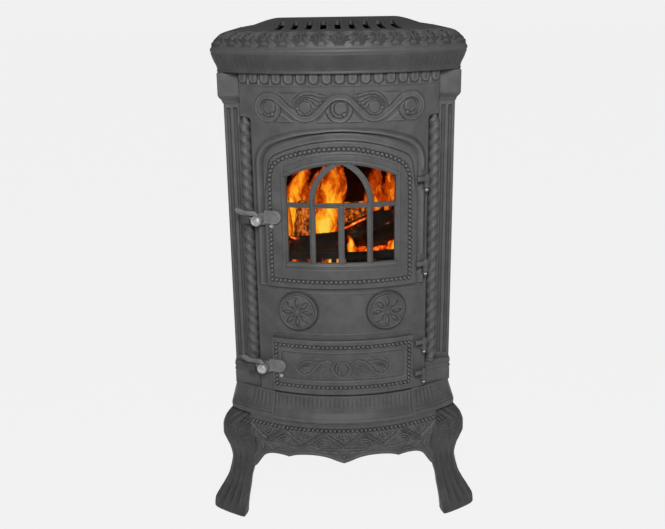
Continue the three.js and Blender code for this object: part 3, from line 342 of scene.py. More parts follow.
def softened(node, width, material=None):
    """The node's own solid with its edges rounded, as a casting's are."""
    source = frame["nodes"][node]
    mesh = source.data.copy()
    shape = bmesh.new()
    shape.from_mesh(mesh)
    bmesh.ops.remove_doubles(shape, verts=shape.verts, dist=2e-6)
    bmesh.ops.dissolve_limit(shape, angle_limit=math.radians(1.0), verts=shape.verts, edges=shape.edges)
    shape.to_mesh(mesh)
    shape.free()
    mesh.materials.clear()
    mesh.materials.append(material or SLOT_MATERIAL[SLOT_OF[node]])
    for gone in [a.name for a in mesh.attributes if a.name == "custom_normal"]:
        mesh.attributes.remove(mesh.attributes[gone])
    mesh.shade_smooth()
    piece = bpy.data.objects.new(node + "_cast", mesh)
    bpy.context.scene.collection.objects.link(piece)
    edge = piece.modifiers.new("edge", "BEVEL")
    edge.width, edge.segments, edge.limit_method = width * MM, 2, "ANGLE"
    edge.angle_limit = math.radians(32)
    edge.harden_normals = False
    edge.use_clamp_overlap = True
    mesh.set_sharp_from_angle(angle=math.radians(32))
    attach(piece, source["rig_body"])
    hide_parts(node)


# ---------------------------------------------------------------- materials
def grey(value):
    """A screen grey from 0 to 255 as a linear colour."""
    v = value / 255
    v = v / 12.92 if v <= 0.04045 else ((v + 0.055) / 1.055) ** 2.4
    return (v, v, v, 1)


def rgb(r, g, b):
    return (grey(r)[0], grey(g)[0], grey(b)[0], 1)


class Maker:
    """Short calls that add shader nodes to a new material."""

    def __init__(self, name, color, roughness, metallic=0.0, **more):
        self.mat = bpy.data.materials.new(name)
        self.mat.use_nodes = True
        self.tree = self.mat.node_tree
        self.shader = self.tree.nodes["Principled BSDF"]
        self.set("Base Color", color)
        self.set("Roughness", roughness)
        self.set("Metallic", metallic)
        for socket, value in more.items():
            self.set(socket.replace("_", " "), value)

    def set(self, socket, value):
        self.shader.inputs[socket].default_value = value

    def node(self, kind, inputs=(), **settings):
        made = self.tree.nodes.new("ShaderNode" + kind)
        for key, value in settings.items():
            setattr(made, key, value)
        for key, value in dict(inputs).items():
            self.feed(made, key, value)
        return made

    def feed(self, node, key, value):
        if isinstance(value, bpy.types.NodeSocket):
            self.tree.links.new(value, node.inputs[key])
        else:
            node.inputs[key].default_value = value

    def noise(self, scale, detail=3.0, rough=0.6, stretch=None):
        where = self.node("TexCoord").outputs["Object"]
        if stretch:
            where = self.node("Mapping", {"Vector": where, "Scale": stretch}).outputs[0]
        ports = {"Vector": where, "Scale": scale, "Detail": detail, "Roughness": rough}
        return self.node("TexNoise", ports).outputs[0]

    def ramp(self, value, *stops):
        made = self.node("ValToRGB", {"Fac": value})
        while len(made.color_ramp.elements) < len(stops):
            made.color_ramp.elements.new(0.5)
        for element, (place, color) in zip(made.color_ramp.elements, stops):
            element.position, element.color = place, color
        return made.outputs[0]

    def blend(self, share, a, b, kind="MIX"):
        made = self.node("Mix", data_type="RGBA", blend_type=kind)
        self.feed(made, 0, share)
        self.feed(made, 6, a)
        self.feed(made, 7, b)
        return made.outputs[2]

    def math(self, operation, *values):
        return self.node("Math", dict(enumerate(values)), operation=operation).outputs[0]

    def surface(self, socket):
        self.tree.links.new(socket, self.tree.nodes["Material Output"].inputs["Surface"])

    def range(self, value, a, b, c, d):
        return self.node("MapRange", {0: value, 1: a, 2: b, 3: c, 4: d}).outputs[0]

    def color(self, value, *stops):
        """Colours the surface by a colour socket, or by value's place on a ramp."""
        self.tree.links.new(self.ramp(value, *stops) if stops else value, self.shader.inputs["Base Color"])
        return self

    def rough(self, value, low, high):
        self.tree.links.new(self.range(value, 0.3, 0.7, low, high), self.shader.inputs["Roughness"])
        return self

    def emit(self, strength, value, *stops):
        """Glows in the colour that value has on the ramp."""
        self.tree.links.new(self.ramp(value, *stops), self.shader.inputs["Emission Color"])
        self.set("Emission Strength", strength)
        return self

    def bump(self, value, strength, distance):
        made = self.node("Bump", {"Strength": strength, "Distance": distance, "Height": value})
        self.tree.links.new(made.outputs[0], self.shader.inputs["Normal"])
        return self


def cast_iron(name, tone, roughness=0.5, grain=0.3, spread=0.12):
    """Painted or bare cast iron: mottled, with a painted highlight on raised work and painted shade in hollows."""
    m = Maker(name, grey(tone), roughness, Specular_IOR_Level=0.24)
    mottle = m.noise(38, 4, 0.65)
    low, high = grey(tone * (1 - spread)), grey(tone * (1 + spread))
    paint = m.ramp(mottle, (0.3, low), (0.7, high))
    # the relief attribute paints light and shade: raised work lighter as a painted highlight, hollows darker as
    # painted shade
    relief = m.node("Attribute", attribute_name="relief").outputs["Fac"]
    raised_highlight = m.range(relief, 0.08, 0.9, 0.0, 0.5)
    sunk = m.range(relief, -0.08, -0.9, 0.0, 0.75)
    paint = m.blend(raised_highlight, paint, grey(tone * 1.32))
    paint = m.blend(sunk, paint, grey(tone * 0.55))
    fine = m.noise(900, 2, 0.5)
    m.color(paint).rough(mottle, roughness - 0.06, roughness + 0.08).bump(fine, grain, 0.0004)
    return m.mat


PAINT = cast_iron("stove_paint", 72)
# a lighter copy of the paint for places the light falls on: painted light
PAINT_LIT = cast_iron("stove_paint_lit", 84)
# a darker copy of the paint for the side aprons, legs, lid and latch keepers, which the light reaches less: painted
# shade
PAINT_SHADED = cast_iron("stove_paint_shaded", 60)
# a lighter copy of the paint for the latches: their wear from handling and a painted highlight
PAINT_WORN_AND_LIT = cast_iron("stove_paint_worn_and_lit", 98, 0.42)
SOOT = cast_iron("sooted_iron", 34, 0.75, 0.6, 0.3)

steel = Maker("bright_steel", grey(205), 0.22, 1.0)
turned = steel.noise(60, 2, 0.5, (1, 1, 26))
STEEL = steel.color(turned, (0.3, grey(170)), (0.7, grey(225))).rough(turned, 0.18, 0.34).mat

bolt = Maker("worn_bolt_steel", grey(190), 0.42, 0.85)
pitted = bolt.noise(420, 5, 0.7)
BOLT = bolt.color(pitted, (0.32, grey(120)), (0.62, grey(205))).rough(pitted, 0.3, 0.5)
BOLT = BOLT.bump(pitted, 0.5, 0.0005).mat

clay = Maker("fire_clay", rgb(60, 50, 42), 0.95)
lump = clay.noise(55, 6, 0.7)
CLAY = clay.color(lump, (0.3, rgb(16, 14, 13)), (0.5, rgb(38, 32, 28)), (0.75, rgb(66, 55, 46)))
CLAY = CLAY.bump(clay.noise(420, 4, 0.7), 0.5, 0.0008).mat

rope = Maker("rope_seal", grey(70), 0.95)
weave = rope.node("TexWave", {"Scale": 190.0, "Distortion": 1.2}, bands_direction="DIAGONAL").outputs[0]
ROPE = rope.color(weave, (0.2, grey(38)), (0.8, grey(104))).bump(weave, 0.8, 0.0008).mat

pane = Maker("fire_glass", (1, 1, 1, 1), 0.03, 0.0, Transmission_Weight=1.0, IOR=1.02)
haze = pane.noise(16, 3, 0.6)
GLASS = pane.color(haze, (0.3, (1, 1, 1, 1)), (0.8, (0.86, 0.84, 0.8, 1))).mat

coal = Maker("charred_bark", grey(26), 0.9)
crack = coal.node("TexVoronoi", {"Vector": coal.node("TexCoord").outputs["Object"], "Scale": 95.0},
                  feature="DISTANCE_TO_EDGE").outputs[0]
patch = coal.noise(24, 3, 0.6)
hot = coal.math("MULTIPLY", coal.range(crack, 0.0, 0.05, 1.0, 0.0), coal.range(patch, 0.56, 0.7, 0.0, 1.0))
coal.emit(1.2, hot, (0.0, (0, 0, 0, 1)), (0.45, (0.3, 0.02, 0.0, 1)), (1.0, (0.9, 0.2, 0.02, 1)))
coal.color(patch, (0.3, grey(12)), (0.7, rgb(40, 28, 22)))
BARK = coal.bump(coal.noise(160, 6, 0.75), 1.0, 0.003).mat

glowing = Maker("glowing_bark", (0.01, 0.008, 0.006, 1), 0.9)
scales = glowing.noise(130, 6, 0.72, (1.0, 1.0, 0.6))
glowing.emit(0.85, scales, (0.43, (0.01, 0.002, 0.0, 1)), (0.5, (0.25, 0.03, 0.002, 1)),
             (0.57, (0.8, 0.17, 0.012, 1)), (0.65, (1.0, 0.44, 0.05, 1)))
GLOWING = glowing.bump(scales, 1.0, 0.003).mat

ember = Maker("embers", (0.02, 0.01, 0.01, 1), 0.9)
glow = ember.noise(75, 5, 0.7)
ember.emit(1.8, glow, (0.4, (0.01, 0.0, 0.0, 1)), (0.52, (0.7, 0.05, 0.0, 1)), (0.66, (1.0, 0.36, 0.05, 1)))
EMBER = ember.bump(glow, 1.0, 0.004).mat


def flame_material():
    """Glowing streaks: yellow where the heat attribute is high, then orange, deep red and clear."""
    m = Maker("flame", (0, 0, 0, 1), 1.0)
    where = m.node("TexCoord").outputs["Object"]
    sway = m.node("TexNoise", {"Vector": where, "Scale": 22.0, "Detail": 3.0}).outputs["Color"]
    sway = m.node("VectorMath", {0: sway, 1: (0.045, 0.045, 0.03)}, operation="MULTIPLY").outputs[0]
    bent = m.node("VectorMath", {0: where, 1: sway}, operation="ADD").outputs[0]
    bent = m.node("Mapping", {"Vector": bent, "Scale": (1.0, 0.6, 0.26)}).outputs[0]
    streak = m.node("TexNoise", {"Vector": bent, "Scale": 95.0, "Detail": 6.0, "Roughness": 0.62}).outputs[0]
    level = m.node("Attribute", attribute_name="relief").outputs["Fac"]
    warm = m.math("ADD", m.math("MULTIPLY_ADD", streak, 1.9, -0.97), level)
    color = m.ramp(warm, (0.1, (0.10, 0.005, 0.0, 1)), (0.34, (0.5, 0.05, 0.002, 1)),
                   (0.58, (0.95, 0.22, 0.008, 1)), (0.78, (1.0, 0.42, 0.015, 1)), (1.0, (1.0, 0.66, 0.07, 1)))
    glow = m.node("Emission", {"Color": color, "Strength": 1.0}).outputs[0]
    clear = m.node("BsdfTransparent").outputs[0]
    fade = m.range(warm, 0.06, 0.3, 0.0, 1.0)
    m.surface(m.node("MixShader", {0: fade, 1: clear, 2: glow}).outputs[0])
    return m.mat


FLAME = flame_material()
SLOT_MATERIAL = {
    "stove_iron": PAINT, "stove_iron_light": PAINT_LIT, "raw_iron": SOOT, "bright_steel": STEEL,
    "fire_clay": CLAY, "rope_seal": ROPE, "fire_glass": GLASS,
}


# ---------------------------------------------------------------- outlines on the bow
def disc(T, Z, t, z, radius):
    return np.hypot(T - t, Z - z) - radius


def slab(T, Z, half, low, high, t=0.0):
    return np.maximum(np.maximum(np.abs(T - t) - half, low - Z), Z - high)


def load_door(T, Z, grow=0.0):
    """Below zero inside the arched loading door's outline, grown evenly by grow."""
    t = np.abs(T)
    body = np.maximum(np.maximum(t - DOOR_HALF, DOOR_LOW - Z), disc(T, Z, 0, DOOR_ARCH_Z, DOOR_ARCH_R))
    dt, dz = t - SHOULDER_T, Z - SHOULDER_Z
    shoulder = (dt > 0) & (dz > 0) & (dt * (SHOULDER_Z - DOOR_ARCH_Z) > dz * SHOULDER_T)
    return np.where(shoulder, np.hypot(dt, dz) - SHOULDER_R, body) - grow


def ash_door(T, Z):
    return slab(T, Z, ASH_HALF, ASH_LOW, ASH_TOP)


def window(T, Z):
    return np.maximum(slab(T, Z, WINDOW_HALF, WINDOW_LOW, 700), disc(T, Z, 0, WINDOW_ARCH_Z, WINDOW_ARCH_R))


def panes(T, Z):
    """Below zero inside one of the window's four lower and three upper panes."""
    lower = [slab(T, Z, PANE_HALF, WINDOW_LOW, BAR_Z, t) for t in PANE_TS]
    pointed = np.maximum(*(disc(T, Z, s * POINT_T, SPRING_Z, POINT_R) for s in (-1, 1)))
    middle = np.maximum(pointed, SPRING_Z - Z)
    sides = np.maximum(np.maximum(9.5 - pointed, window(T, Z)), SPRING_Z - Z)
    return np.minimum.reduce([*lower, middle, sides])


# ---------------------------------------------------------------- the running scroll
def volute(field, t, z, size, side, turns, high, flat=1.0):
    """A strap that curls in through (angle, reach, width) turns to a hook beside a round eye."""
    angle, reach, width = np.array(turns, float).T
    every = np.linspace(angle[0], angle[-1], 70)
    radius = np.interp(every, angle, reach) * size
    line = np.stack([radius * np.cos(np.radians(every)), radius * np.sin(np.radians(every))], -1)
    field.dots([(t, z)], size * 0.47, high * 0.5, 0.0, 1.1, crown=0.5)
    taper = np.interp(np.linspace(0, 1, 12), np.linspace(0, 1, len(width)), width)
    field.strap(mirrored(line, side, t, z, flat), size, high, 0.0, tuple(taper), rimmed, 0.9)
    field.dots([mirrored(line[-1:], side, t, z, flat)[0]], size * 0.15, high * 1.1, 0.0, 0.7)


LEAF_STRANDS = [
    [(-0.98, -0.2), (-0.88, 0.35), (-0.55, 0.78), (0, 1.04), (0.6, 1.02), (1.1, 0.9), (1.5, 0.84)],
    [(-0.84, 0.05), (-0.66, 0.48), (-0.3, 0.77), (0.15, 0.87), (0.65, 0.76), (1.1, 0.55), (1.46, 0.52)],
    [(-0.72, 0.15), (-0.52, 0.48), (-0.15, 0.69), (0.3, 0.68), (0.65, 0.5), (0.95, 0.27), (1.18, 0.22)],
    [(-0.6, 0.15), (-0.44, 0.42), (-0.12, 0.56), (0.25, 0.5), (0.52, 0.3), (0.72, 0.0), (0.92, -0.08)],
]


def leaf_fan(field, t, z, size, side, high, flat=1.0):
    """An acanthus leaf: four strands that sweep over a round eye and end in small lobes."""
    field.dots([(t, z)], size * 0.46, high * 0.5, 0.0, 0.9, crown=0.5)
    ring = arc(0, 0, (0.6, 0.54), 190, 352, 16) * size
    field.strap(mirrored(ring, side, t, z, flat), size * 0.17, high * 0.9, 0.0, (0.8, 1, 1, 0.6), rounded, 0.8)
    field.dots([mirrored(ring[:1], side, t, z, flat)[0]], size * 0.12, high, 0.0, 0.7)
    for strand in LEAF_STRANDS[::-1]:
        line = mirrored(flowing(*strand) * size, side, t, z, flat)
        field.strap(line, size * 0.19, high, 0.0, (0.4, 0.9, 1, 1, 0.9), leafy, 0.75, 0.7)
        field.dots([line[-1]], size * 0.115, high * 1.1, 0.0, 0.7, 0.7)


END_TURNS = [(90, 0.79, 0.44), (130, 0.85, 0.44), (180, 0.88, 0.44), (230, 0.84, 0.44), (270, 0.81, 0.42),
             (360, 0.76, 0.3), (450, 0.6, 0.22), (540, 0.56, 0.2), (630, 0.54, 0.19), (660, 0.52, 0.18)]
MIDDLE_TURNS = [(160, 0.84, 0.24), (215, 0.82, 0.33), (270, 0.8, 0.34), (360, 0.73, 0.28), (450, 0.57, 0.19),
                (540, 0.53, 0.19), (630, 0.52, 0.19), (665, 0.5, 0.18)]


def running_scroll(field, centres, size, high):
    """A strap that runs over and under a row of spirals; every second one carries a leaf."""
    wide, tall = size * 0.98, size * 0.79  # the strap swings wider than it is high
    line = []
    for k, (t, z) in enumerate(centres):
        over = 1 if k % 2 == 0 else -1
        lean = [math.degrees(math.acos(2 * wide / abs(centres[j][0] - t))) for j in (k - 1, k + 1)
                if 0 <= j < len(centres)]
        first = 90 if k == 0 else 180 - lean[0]
        last = 90 if k == len(centres) - 1 else lean[-1]
        line.append(arc(0, 0, 1, over * first, over * last, 16) * (wide, tall) + (t, z))
    angle, reach, _ = np.array(END_TURNS[:4]).T  # the strap runs on round the outside of both end spirals
    every = np.linspace(angle[0] + 6, 225, 12)
    hook = np.stack([np.cos(np.radians(every)), np.sin(np.radians(every))], -1) * size
    hook *= np.interp(every, angle, reach)[:, None]
    line = [mirrored(hook[::-1], 1, *centres[0]), *line, mirrored(hook, -1, *centres[-1])]
    for k, (t, z) in enumerate(centres):
        side = -1 if t > 0.5 else 1
        if k % 2:
            leaf_fan(field, t, z, size * 0.9, side, high * 0.9)
        else:
            volute(field, t, z, size, side, END_TURNS if t else MIDDLE_TURNS, high)
    field.strap(np.concatenate(line), size * 0.44, high, profile=rimmed, groove=1.1, deep=0.8, cut=True)


# ---------------------------------------------------------------- the front casting
def front_casting():
    field = Field(steps(-180, 180, STEP), steps(BODY_LOW, BODY_TOP, STEP * 0.85))
    T, Z = field.T, field.Z
    centres = [(-114.6, 762), (-54.3, 763), (0, 761), (54.3, 763), (114.6, 762)]
    for side in (-1, 1):  # raised corners between the spirals
        for high, corners in ((1.6, [(98.5, 784.5), (65, 784.5), (76, 762)]),
                              (1.6, [(71, 739.5), (104, 739.5), (95.5, 757)]),
                              (1.6, [(8, 739.5), (38, 739.5), (19.5, 757)]),
                              (1.2, [(64, 785), (22, 785), (30, 779), (58, 779)])):
            field.plate(np.array(corners) * (side, 1), high)
    running_scroll(field, centres, 22.5, 2.3)

    # frieze of tongues over a thin ledge
    tongue_pitch = 20.1
    field.h += smooth(796.5, 797.5, Z) * 0.6
    for k in range(-8, 9):
        t = k * tongue_pitch
        away = np.where(Z > 805.5, np.abs(T - t) - 7.6, np.hypot(T - t, Z - 805.5) - 7.6)
        near = (np.abs(T - t) < tongue_pitch / 2) & (Z > 797)
        shape = np.clip(-away, 0, 8)
        tongue = 2.3 * smooth(0, 2.2, shape) - 0.5 * smooth(3, 7, shape)
        groove = -0.9 * hump(away, 0.9, 0.8)
        field.h = np.where(near & (away < 0), 0.6 + tongue, field.h + np.where(near, groove, 0))
    for k in range(-8, 8):
        dart = [((k + 0.5) * tongue_pitch, z) for z in (803.5, 798)]
        field.strap(dart, 3.4, 1.5, 0.4, (0.35, 1.0), groove=0)
    field.line([(-170, 795.6), (170, 795.6)], 1.8, 1.3)
    field.line([(-180, 793.2), (180, 793.2)], 1.4, -1.3)

    # ridge that frames the loading door
    ridge = load_door(T, Z)
    wider = np.clip((np.abs(T) - 35) / 100, 0, 1)  # narrow and close over the top, broad at the sides
    crest, spread = 2.6 + 9.6 * wider, 6.4 + 1.2 * wider
    within = spread - (4.2 - 4.2 * wider) * (ridge < crest)
    lift = 4.0 * (0.5 + 0.5 * np.cos(np.pi * np.clip((ridge - crest) / within, -1, 1))) ** 0.8
    lift += 0.7 * hump(ridge, crest, 1.3) * wider - 0.7 * hump(ridge, crest - spread, 0.9)
    for z in LOAD_HINGES:  # lower under each hinge, with a notch for its strap
        near_hinge = 1 - smooth(0, 8, slab(T, Z, 16, z - 8, z + 18, 141.5))
        lift -= near_hinge * np.maximum(lift - 2.2, 0)
        lift -= 4.2 * np.exp(-(((T - 130.5) / 3.6) ** 4) - (((Z - z + 1) / 5.2) ** 4))
    field.h = np.where(ridge < crest + spread + 1, lift * smooth(467.6, 469, Z), field.h)

    # bosses behind the air rosettes
    for side in (-1, 1):
        away = np.hypot(T - side * BOSS_T, Z - ROSETTE_Z)
        field.h = np.maximum(field.h, 4.7 * (1 - smooth(31.6, 33.2, away)))
        field.h += 0.7 * hump(away, 31.9, 0.8)
    for z in (460, 387.5):
        field.line([(-149, z), (149, z)], 1.6, 0.6)
    swing = np.clip((np.abs(T) - 147) / 9, 0, 1.4)  # the cove that carries the twisted column
    field.h -= 8.0 * swing**1.3 * smooth(748, 738, Z)

    ash_opening = slab(T, Z, ASH_HALF - ASH_LAP, ASH_LOW + 6, ASH_TOP - 10)
    openings = np.minimum(load_door(T, Z, -10), ash_opening)
    for side in (-1, 1):
        openings = np.minimum(openings, disc(T, Z, side * BOSS_T, ROSETTE_Z, BOSS_BORE))
    sides = np.abs(T) - np.where(Z > 745, 169.0, 164.0)
    sheet_piece("front_casting", field, on_bow, np.minimum(-8.0, field.h - 3), "stove_body", PAINT, ["front_plate"],
                np.maximum(sides, -openings))


# ---------------------------------------------------------------- doors
def knuckle(name, z, body):
    """The door's half of a hinge: a short strap out of the door's edge that ends round the pin."""
    angle = math.asin(HINGE_X / (BOW_R + HINGE_OFF))
    hinge_y = BOW_Y - (BOW_R + HINGE_OFF) * math.cos(angle)
    turn = np.linspace(-math.pi, math.pi, 33)[:-1]

    def barrel(part, levels, rider, material):
        rings = [[(HINGE_X + r * math.cos(a), hinge_y + r * math.sin(a), z + h) for a in turn] for h, r in levels]
        loft_piece(name + part, rings, rider, material, ())

    barrel("_barrel", [(-6.8, 3.9), (-6.2, 4.6), (-5.2, 4.8), (-4.4, 4.5), (3, 4.6), (4.2, 5.3), (11.5, 5.3),
                       (13, 4.6), (14, 3.2), (14.6, 1.4)], body, PAINT)
    ball = [(-9.8 + 3.1 * math.sin(a), 3.1 * math.cos(a)) for a in np.radians(np.linspace(-86, 62, 10))]
    barrel("_finial", ball + [(-7.0, 1.6)], "stove_body", STEEL)
    field = Field(steps(121.5, 145.0, 0.8), steps(z + 3, z + 15, 0.8))
    T, Z = field.T, field.Z
    shape = np.maximum(np.abs(Z - z - 8.6) - 4.3, 122.5 - T)
    field.h[:] = 13.6 - 1.8 * (1 - smooth(0, 2.6, -shape)) ** 2 - 2.6 * smooth(140.5, 145, T)
    sheet_piece(name + "_leaf", field, on_bow, 6.6, body, PAINT, (), shape)


DOOR_BEADS = flowing((-115.5, 481.7), (-115, 580), (-114.8, 645), (-113.6, 657), (-110.5, 667), (-105, 675),
                     (-97, 680.8), (-85, 686.2), (-72, 690), (-55, 694.3), (-33, 698), (0, 699.5), (30, 697.8),
                     (66, 688.9), (86.5, 681.2), (99.5, 673.2), (105.5, 666), (109.3, 657), (111.2, 647), (112, 580),
                     (112.5, 481.7))


def clear_of_latch(spots, z):
    """The beads that the latch plate at height z leaves showing."""
    return [p for p in spots if abs(p[1] - z) > 15 or p[0] > -90]


def loading_door():
    top = DOOR_ARCH_Z + DOOR_ARCH_R
    field = Field(steps(-DOOR_HALF, DOOR_HALF, STEP), steps(DOOR_LOW, top, STEP), DOOR_FRONT)
    T, Z = field.T, field.Z
    edge = -load_door(T, Z)
    inner = window(T, Z)
    field.h -= 0.9 * (1 - smooth(0, 1.6, edge)) ** 2
    line = edge - 12.2 * smooth(600, 716, Z)  # a groove that leaves the side edges and runs over the top
    field.h += smooth(580, 640, Z) * (0.5 * hump(line, -1.9, 1.0) - 1.7 * hump(line, 0, 0.95))
    field.h += 0.5 * hump(edge, 31.5, 1.0) - 0.6 * hump(edge, 33.4, 0.9)
    field.h += 0.8 * hump(inner, 5.4, 0.8) - 0.5 * hump(inner, 7.4, 0.7)
    field.h -= 1.6 * (1 - smooth(1.2, 4.4, inner))
    away = panes(T, Z)
    tracery = 4.4 + 1.5 * smooth(0, 2.2, away) - 1.1 * hump(away, 2.9, 0.55)
    field.h = np.where(inner < 0.8, tracery, field.h)
    spots, _ = along(DOOR_BEADS, 7.6, True)
    field.dots(clear_of_latch(spots, LATCH_Z["door"] + 4), 2.8, 2.0, 6.4, 1.3, 1.3)
    cut_out = np.maximum(load_door(T, Z), -away)
    rib = smooth(12.2, 13, edge) * (1 - smooth(20.5, 21, edge))
    sheet_piece("loading_door_casting", field, on_bow, DOOR_BACK - 9.5 * rib, "loading_door", PAINT, ["door_frame"],
                cut_out)
    for end, z in zip(("upper", "lower"), LOAD_HINGES):
        knuckle("loading_hinge_" + end, z, "loading_door")


def ash_door_casting():
    field = Field(steps(-ASH_HALF, ASH_HALF, STEP), steps(ASH_LOW, ASH_TOP, STEP * 0.8), DOOR_FRONT)
    T, Z = field.T, field.Z
    edge = -ash_door(T, Z)
    field.h -= 0.9 * (1 - smooth(0, 1.6, edge)) ** 2
    corner = np.hypot(np.maximum(np.abs(T) - 99, 0), np.maximum(np.abs(Z - 331.3) - 19, 0)) - 5
    panel = -np.maximum(corner, slab(T, Z, 104, 307.4, 355.3))
    field.h -= 1.2 * smooth(-0.4, 1.6, panel)
    field.h -= 1.1 * hump(panel, 0, 0.8)
    field.h += 0.45 * hump(panel, -2.2, 0.8) + 0.35 * hump(edge, 3.2, 0.8)
    scroll = Field(field.t, field.z, 0.0)
    vine(scroll)
    field.h = np.where(panel > 1.2, field.h + scroll.h, field.h)
    spots, _ = along([(-113.5, 294.4), (113.5, 294.4), (113.5, 367), (-113.5, 367)], 7.3, True)
    field.dots(clear_of_latch(spots, LATCH_Z["ash"] + 3), 2.6, 2.0, 6.4, 1.3, 1.3)
    rib = np.abs(edge - 17) < 3.2
    sheet_piece("ash_door_casting", field, on_bow, DOOR_BACK - 9.0 * rib, "ash_door", PAINT, ["ash_door_panel"], -edge)
    for end, z in zip(("upper", "lower"), ASH_HINGES):
        knuckle("ash_hinge_" + end, z, "ash_door")


def vine(field):
    """The ash door's low vine: a middle spiral with a leafy tendril to each side."""
    high = 1.3
    for side in (-1, 1):
        leaf_fan(field, side * 59, 326.5, 15.5, -side, high, 0.85)
        stem = flowing((14, 336), (24, 342), (36, 339), (45, 330), (56, 318), (68, 316), (77, 322), (80, 331))
        field.strap(mirrored(stem, side), 4.6, high * 1.1, 0.0, (0.7, 1, 1, 0.9, 0.5), rimmed, 0.8, 0.6)
        for spray in (((20, 327), (27, 322), (33, 315)), ((14, 318), (22, 314), (28, 310)),
                      ((34, 344), (42, 347), (50, 345)), ((28, 333), (34, 328), (40, 321)),
                      ((66, 343), (72, 340), (76, 335)), ((44, 312), (50, 310), (57, 311))):
            field.strap(mirrored(flowing(*spray), side), 3.8, high, 0.0, (0.3, 1, 0.9, 0.4), leafy, 0.6, 0.6)
    volute(field, -1.5, 328.7, 18.5, 1, [(140, 0.84, 0.2), (180, 0.86, 0.26), (270, 0.84, 0.26), (360, 0.74, 0.22),
                                         (450, 0.58, 0.17), (600, 0.5, 0.17)], high)


# ---------------------------------------------------------------- round the body
CORNER_X, CORNER_R, REAR_Y = 175, 12, 162
EDGE_ANGLE = math.asin(CORNER_X / (BOW_R - CORNER_R))  # where the bow meets the rounded corner


def body_outline():
    """Points and outward normals round the body from the middle of the back, with the run from the front."""
    rows = []

    def corner(y, first, last, count):
        for a in np.linspace(first, last, count)[1:]:
            rows.append((CORNER_X + CORNER_R * math.cos(a), y + CORNER_R * math.sin(a), math.cos(a), math.sin(a)))

    for a in np.linspace(0, EDGE_ANGLE, 120):
        rows.append((BOW_R * math.sin(a), BOW_Y - BOW_R * math.cos(a), math.sin(a), -math.cos(a)))
    front_y = BOW_Y - math.sqrt((BOW_R - CORNER_R) ** 2 - CORNER_X**2)
    corner(front_y, EDGE_ANGLE - math.pi / 2, 0, 14)
    rows += [(CORNER_X + CORNER_R, y, 1, 0) for y in np.linspace(front_y, REAR_Y, 40)[1:]]
    corner(REAR_Y, 0, math.pi / 2, 16)
    rows += [(x, REAR_Y + CORNER_R, 0, 1) for x in np.linspace(CORNER_X, 0, 24)[1:]]
    right = np.array(rows)
    left = right[:0:-1] * [-1, 1, -1, 1]
    both = np.concatenate([left, right])
    leg = np.hypot(*np.diff(both[:, :2], axis=0).T)
    run = np.concatenate([[0], np.cumsum(leg)])
    return both, run - run[-1] / 2


OUTLINE, RUN = body_outline()
HALF_RUN = RUN[-1]


def around(t, z, off):
    """A point at run t from the front middle, height z and off out of the body."""
    x, y, nx, ny = (np.interp(t, RUN, OUTLINE[:, k]) for k in range(4))
    size = np.hypot(nx, ny)
    return xyz(x + off * nx / size, y + off * ny / size, z)


def around_side(side):
    """around for the right side, or turned over for the left."""
    return lambda t, z, off: around(t, z, off) * [side, 1, 1]


def side_run(y):
    """The run at which the right side passes y."""
    return np.interp(y, OUTLINE[len(OUTLINE) // 2:, 1], RUN[len(RUN) // 2:])


def coarse(edges, sizes):
    """Steps along a run: each stretch between two edges has its own step size."""
    parts = [steps(a, b, size) for a, b, size in zip(edges, edges[1:], sizes)]
    return np.unique(np.round(np.concatenate(parts), 4))


PLINTH_Z = [229, 235, 241.7, 250.7, 261.7, 269.7, 276.7]
PLINTH_OFF = [12, 12, 9, 5.2, 2.6, 1.5, 1.5]


def flutes(T, pitch, depth, flat=0.35):
    """Grooves at an even pitch, with flat lands between."""
    wave = 0.5 + 0.5 * np.cos(2 * np.pi * T / pitch)
    return -depth * smooth(flat, 1, wave)


def plinth():
    start = 120.35  # the seam beside the hearth lip
    field = Field(coarse([start, 203, 215, side_run(150), HALF_RUN], [STEP, STEP, 5, 3]), steps(229, 276.7, STEP))
    T, Z = field.T, field.Z
    lean = T - (276 - Z) * 0.16 * smooth(128, 168, T)
    fade = smooth(240, 262, Z) * (1 - smooth(271, 275, Z)) * smooth(124, 127, T) * (1 - smooth(161, 166, lean))
    field.h = np.interp(Z, PLINTH_Z, PLINTH_OFF) + flutes(lean - 124, 7.4, 0.95) * fade
    corner = np.abs((T - 171) * 0.82 + (Z - 272) * 0.57)
    field.h += 0.9 * hump(corner, 0, 1.0) * smooth(250, 253, Z) * (1 - smooth(272, 274, Z))
    field.h += 0.8 * hump(Z, 240.6, 0.9) - 0.4 * hump(Z, 238.6, 0.8)
    field.h += 0.6 * hump(Z, 274.8, 0.8)
    field.h -= 1.4 * (1 - smooth(0, 1.3, T - start))
    for side in (1, -1):
        sheet_piece("plinth_" + SIDE_NAME[side], field, around_side(side), -8.4, "stove_body", PAINT,
                    ["plinth"] if side > 0 else (), flip=side < 0)


def hearth_lip():
    half = BOW_R * math.asin(122 / 295)
    levels = [230.5, 234.5, 239.5, 247.5, 258.5, 270.9, 275.5, 276.9]
    field = Field(steps(-half, half, STEP), steps(levels[0], levels[-1], STEP * 0.8))
    T, Z = field.T, field.Z
    off = np.interp(Z, levels, [14.6, 15, 12, 8, 5.2, 4, 3.6, 2.4])
    field.h = off + flutes(T, 7.5, 0.75) * smooth(244, 266, Z) * (1 - smooth(270, 274, Z))
    field.h -= 1.6 * (1 - smooth(0, 1.4, half - np.abs(T)))
    field.h += 0.5 * hump(Z, 275.0, 0.7) - 0.5 * hump(Z, 236.8, 0.8)
    sheet_piece("hearth_lip_casting", field, on_bow, -3.0, "stove_body", PAINT, ["hearth_lip"])


def quadratic(*points):
    """A line through chained quadratic bends: start, then bend and end pairs."""
    line = [np.array(points[0], float)]
    for bend, end in zip(points[1::2], points[2::2]):
        a, b, c = line[-1], np.array(bend, float), np.array(end, float)
        for u in np.linspace(0, 1, 9)[1:]:
            line.append((1 - u) ** 2 * a + 2 * u * (1 - u) * b + u * u * c)
    return np.array(line)


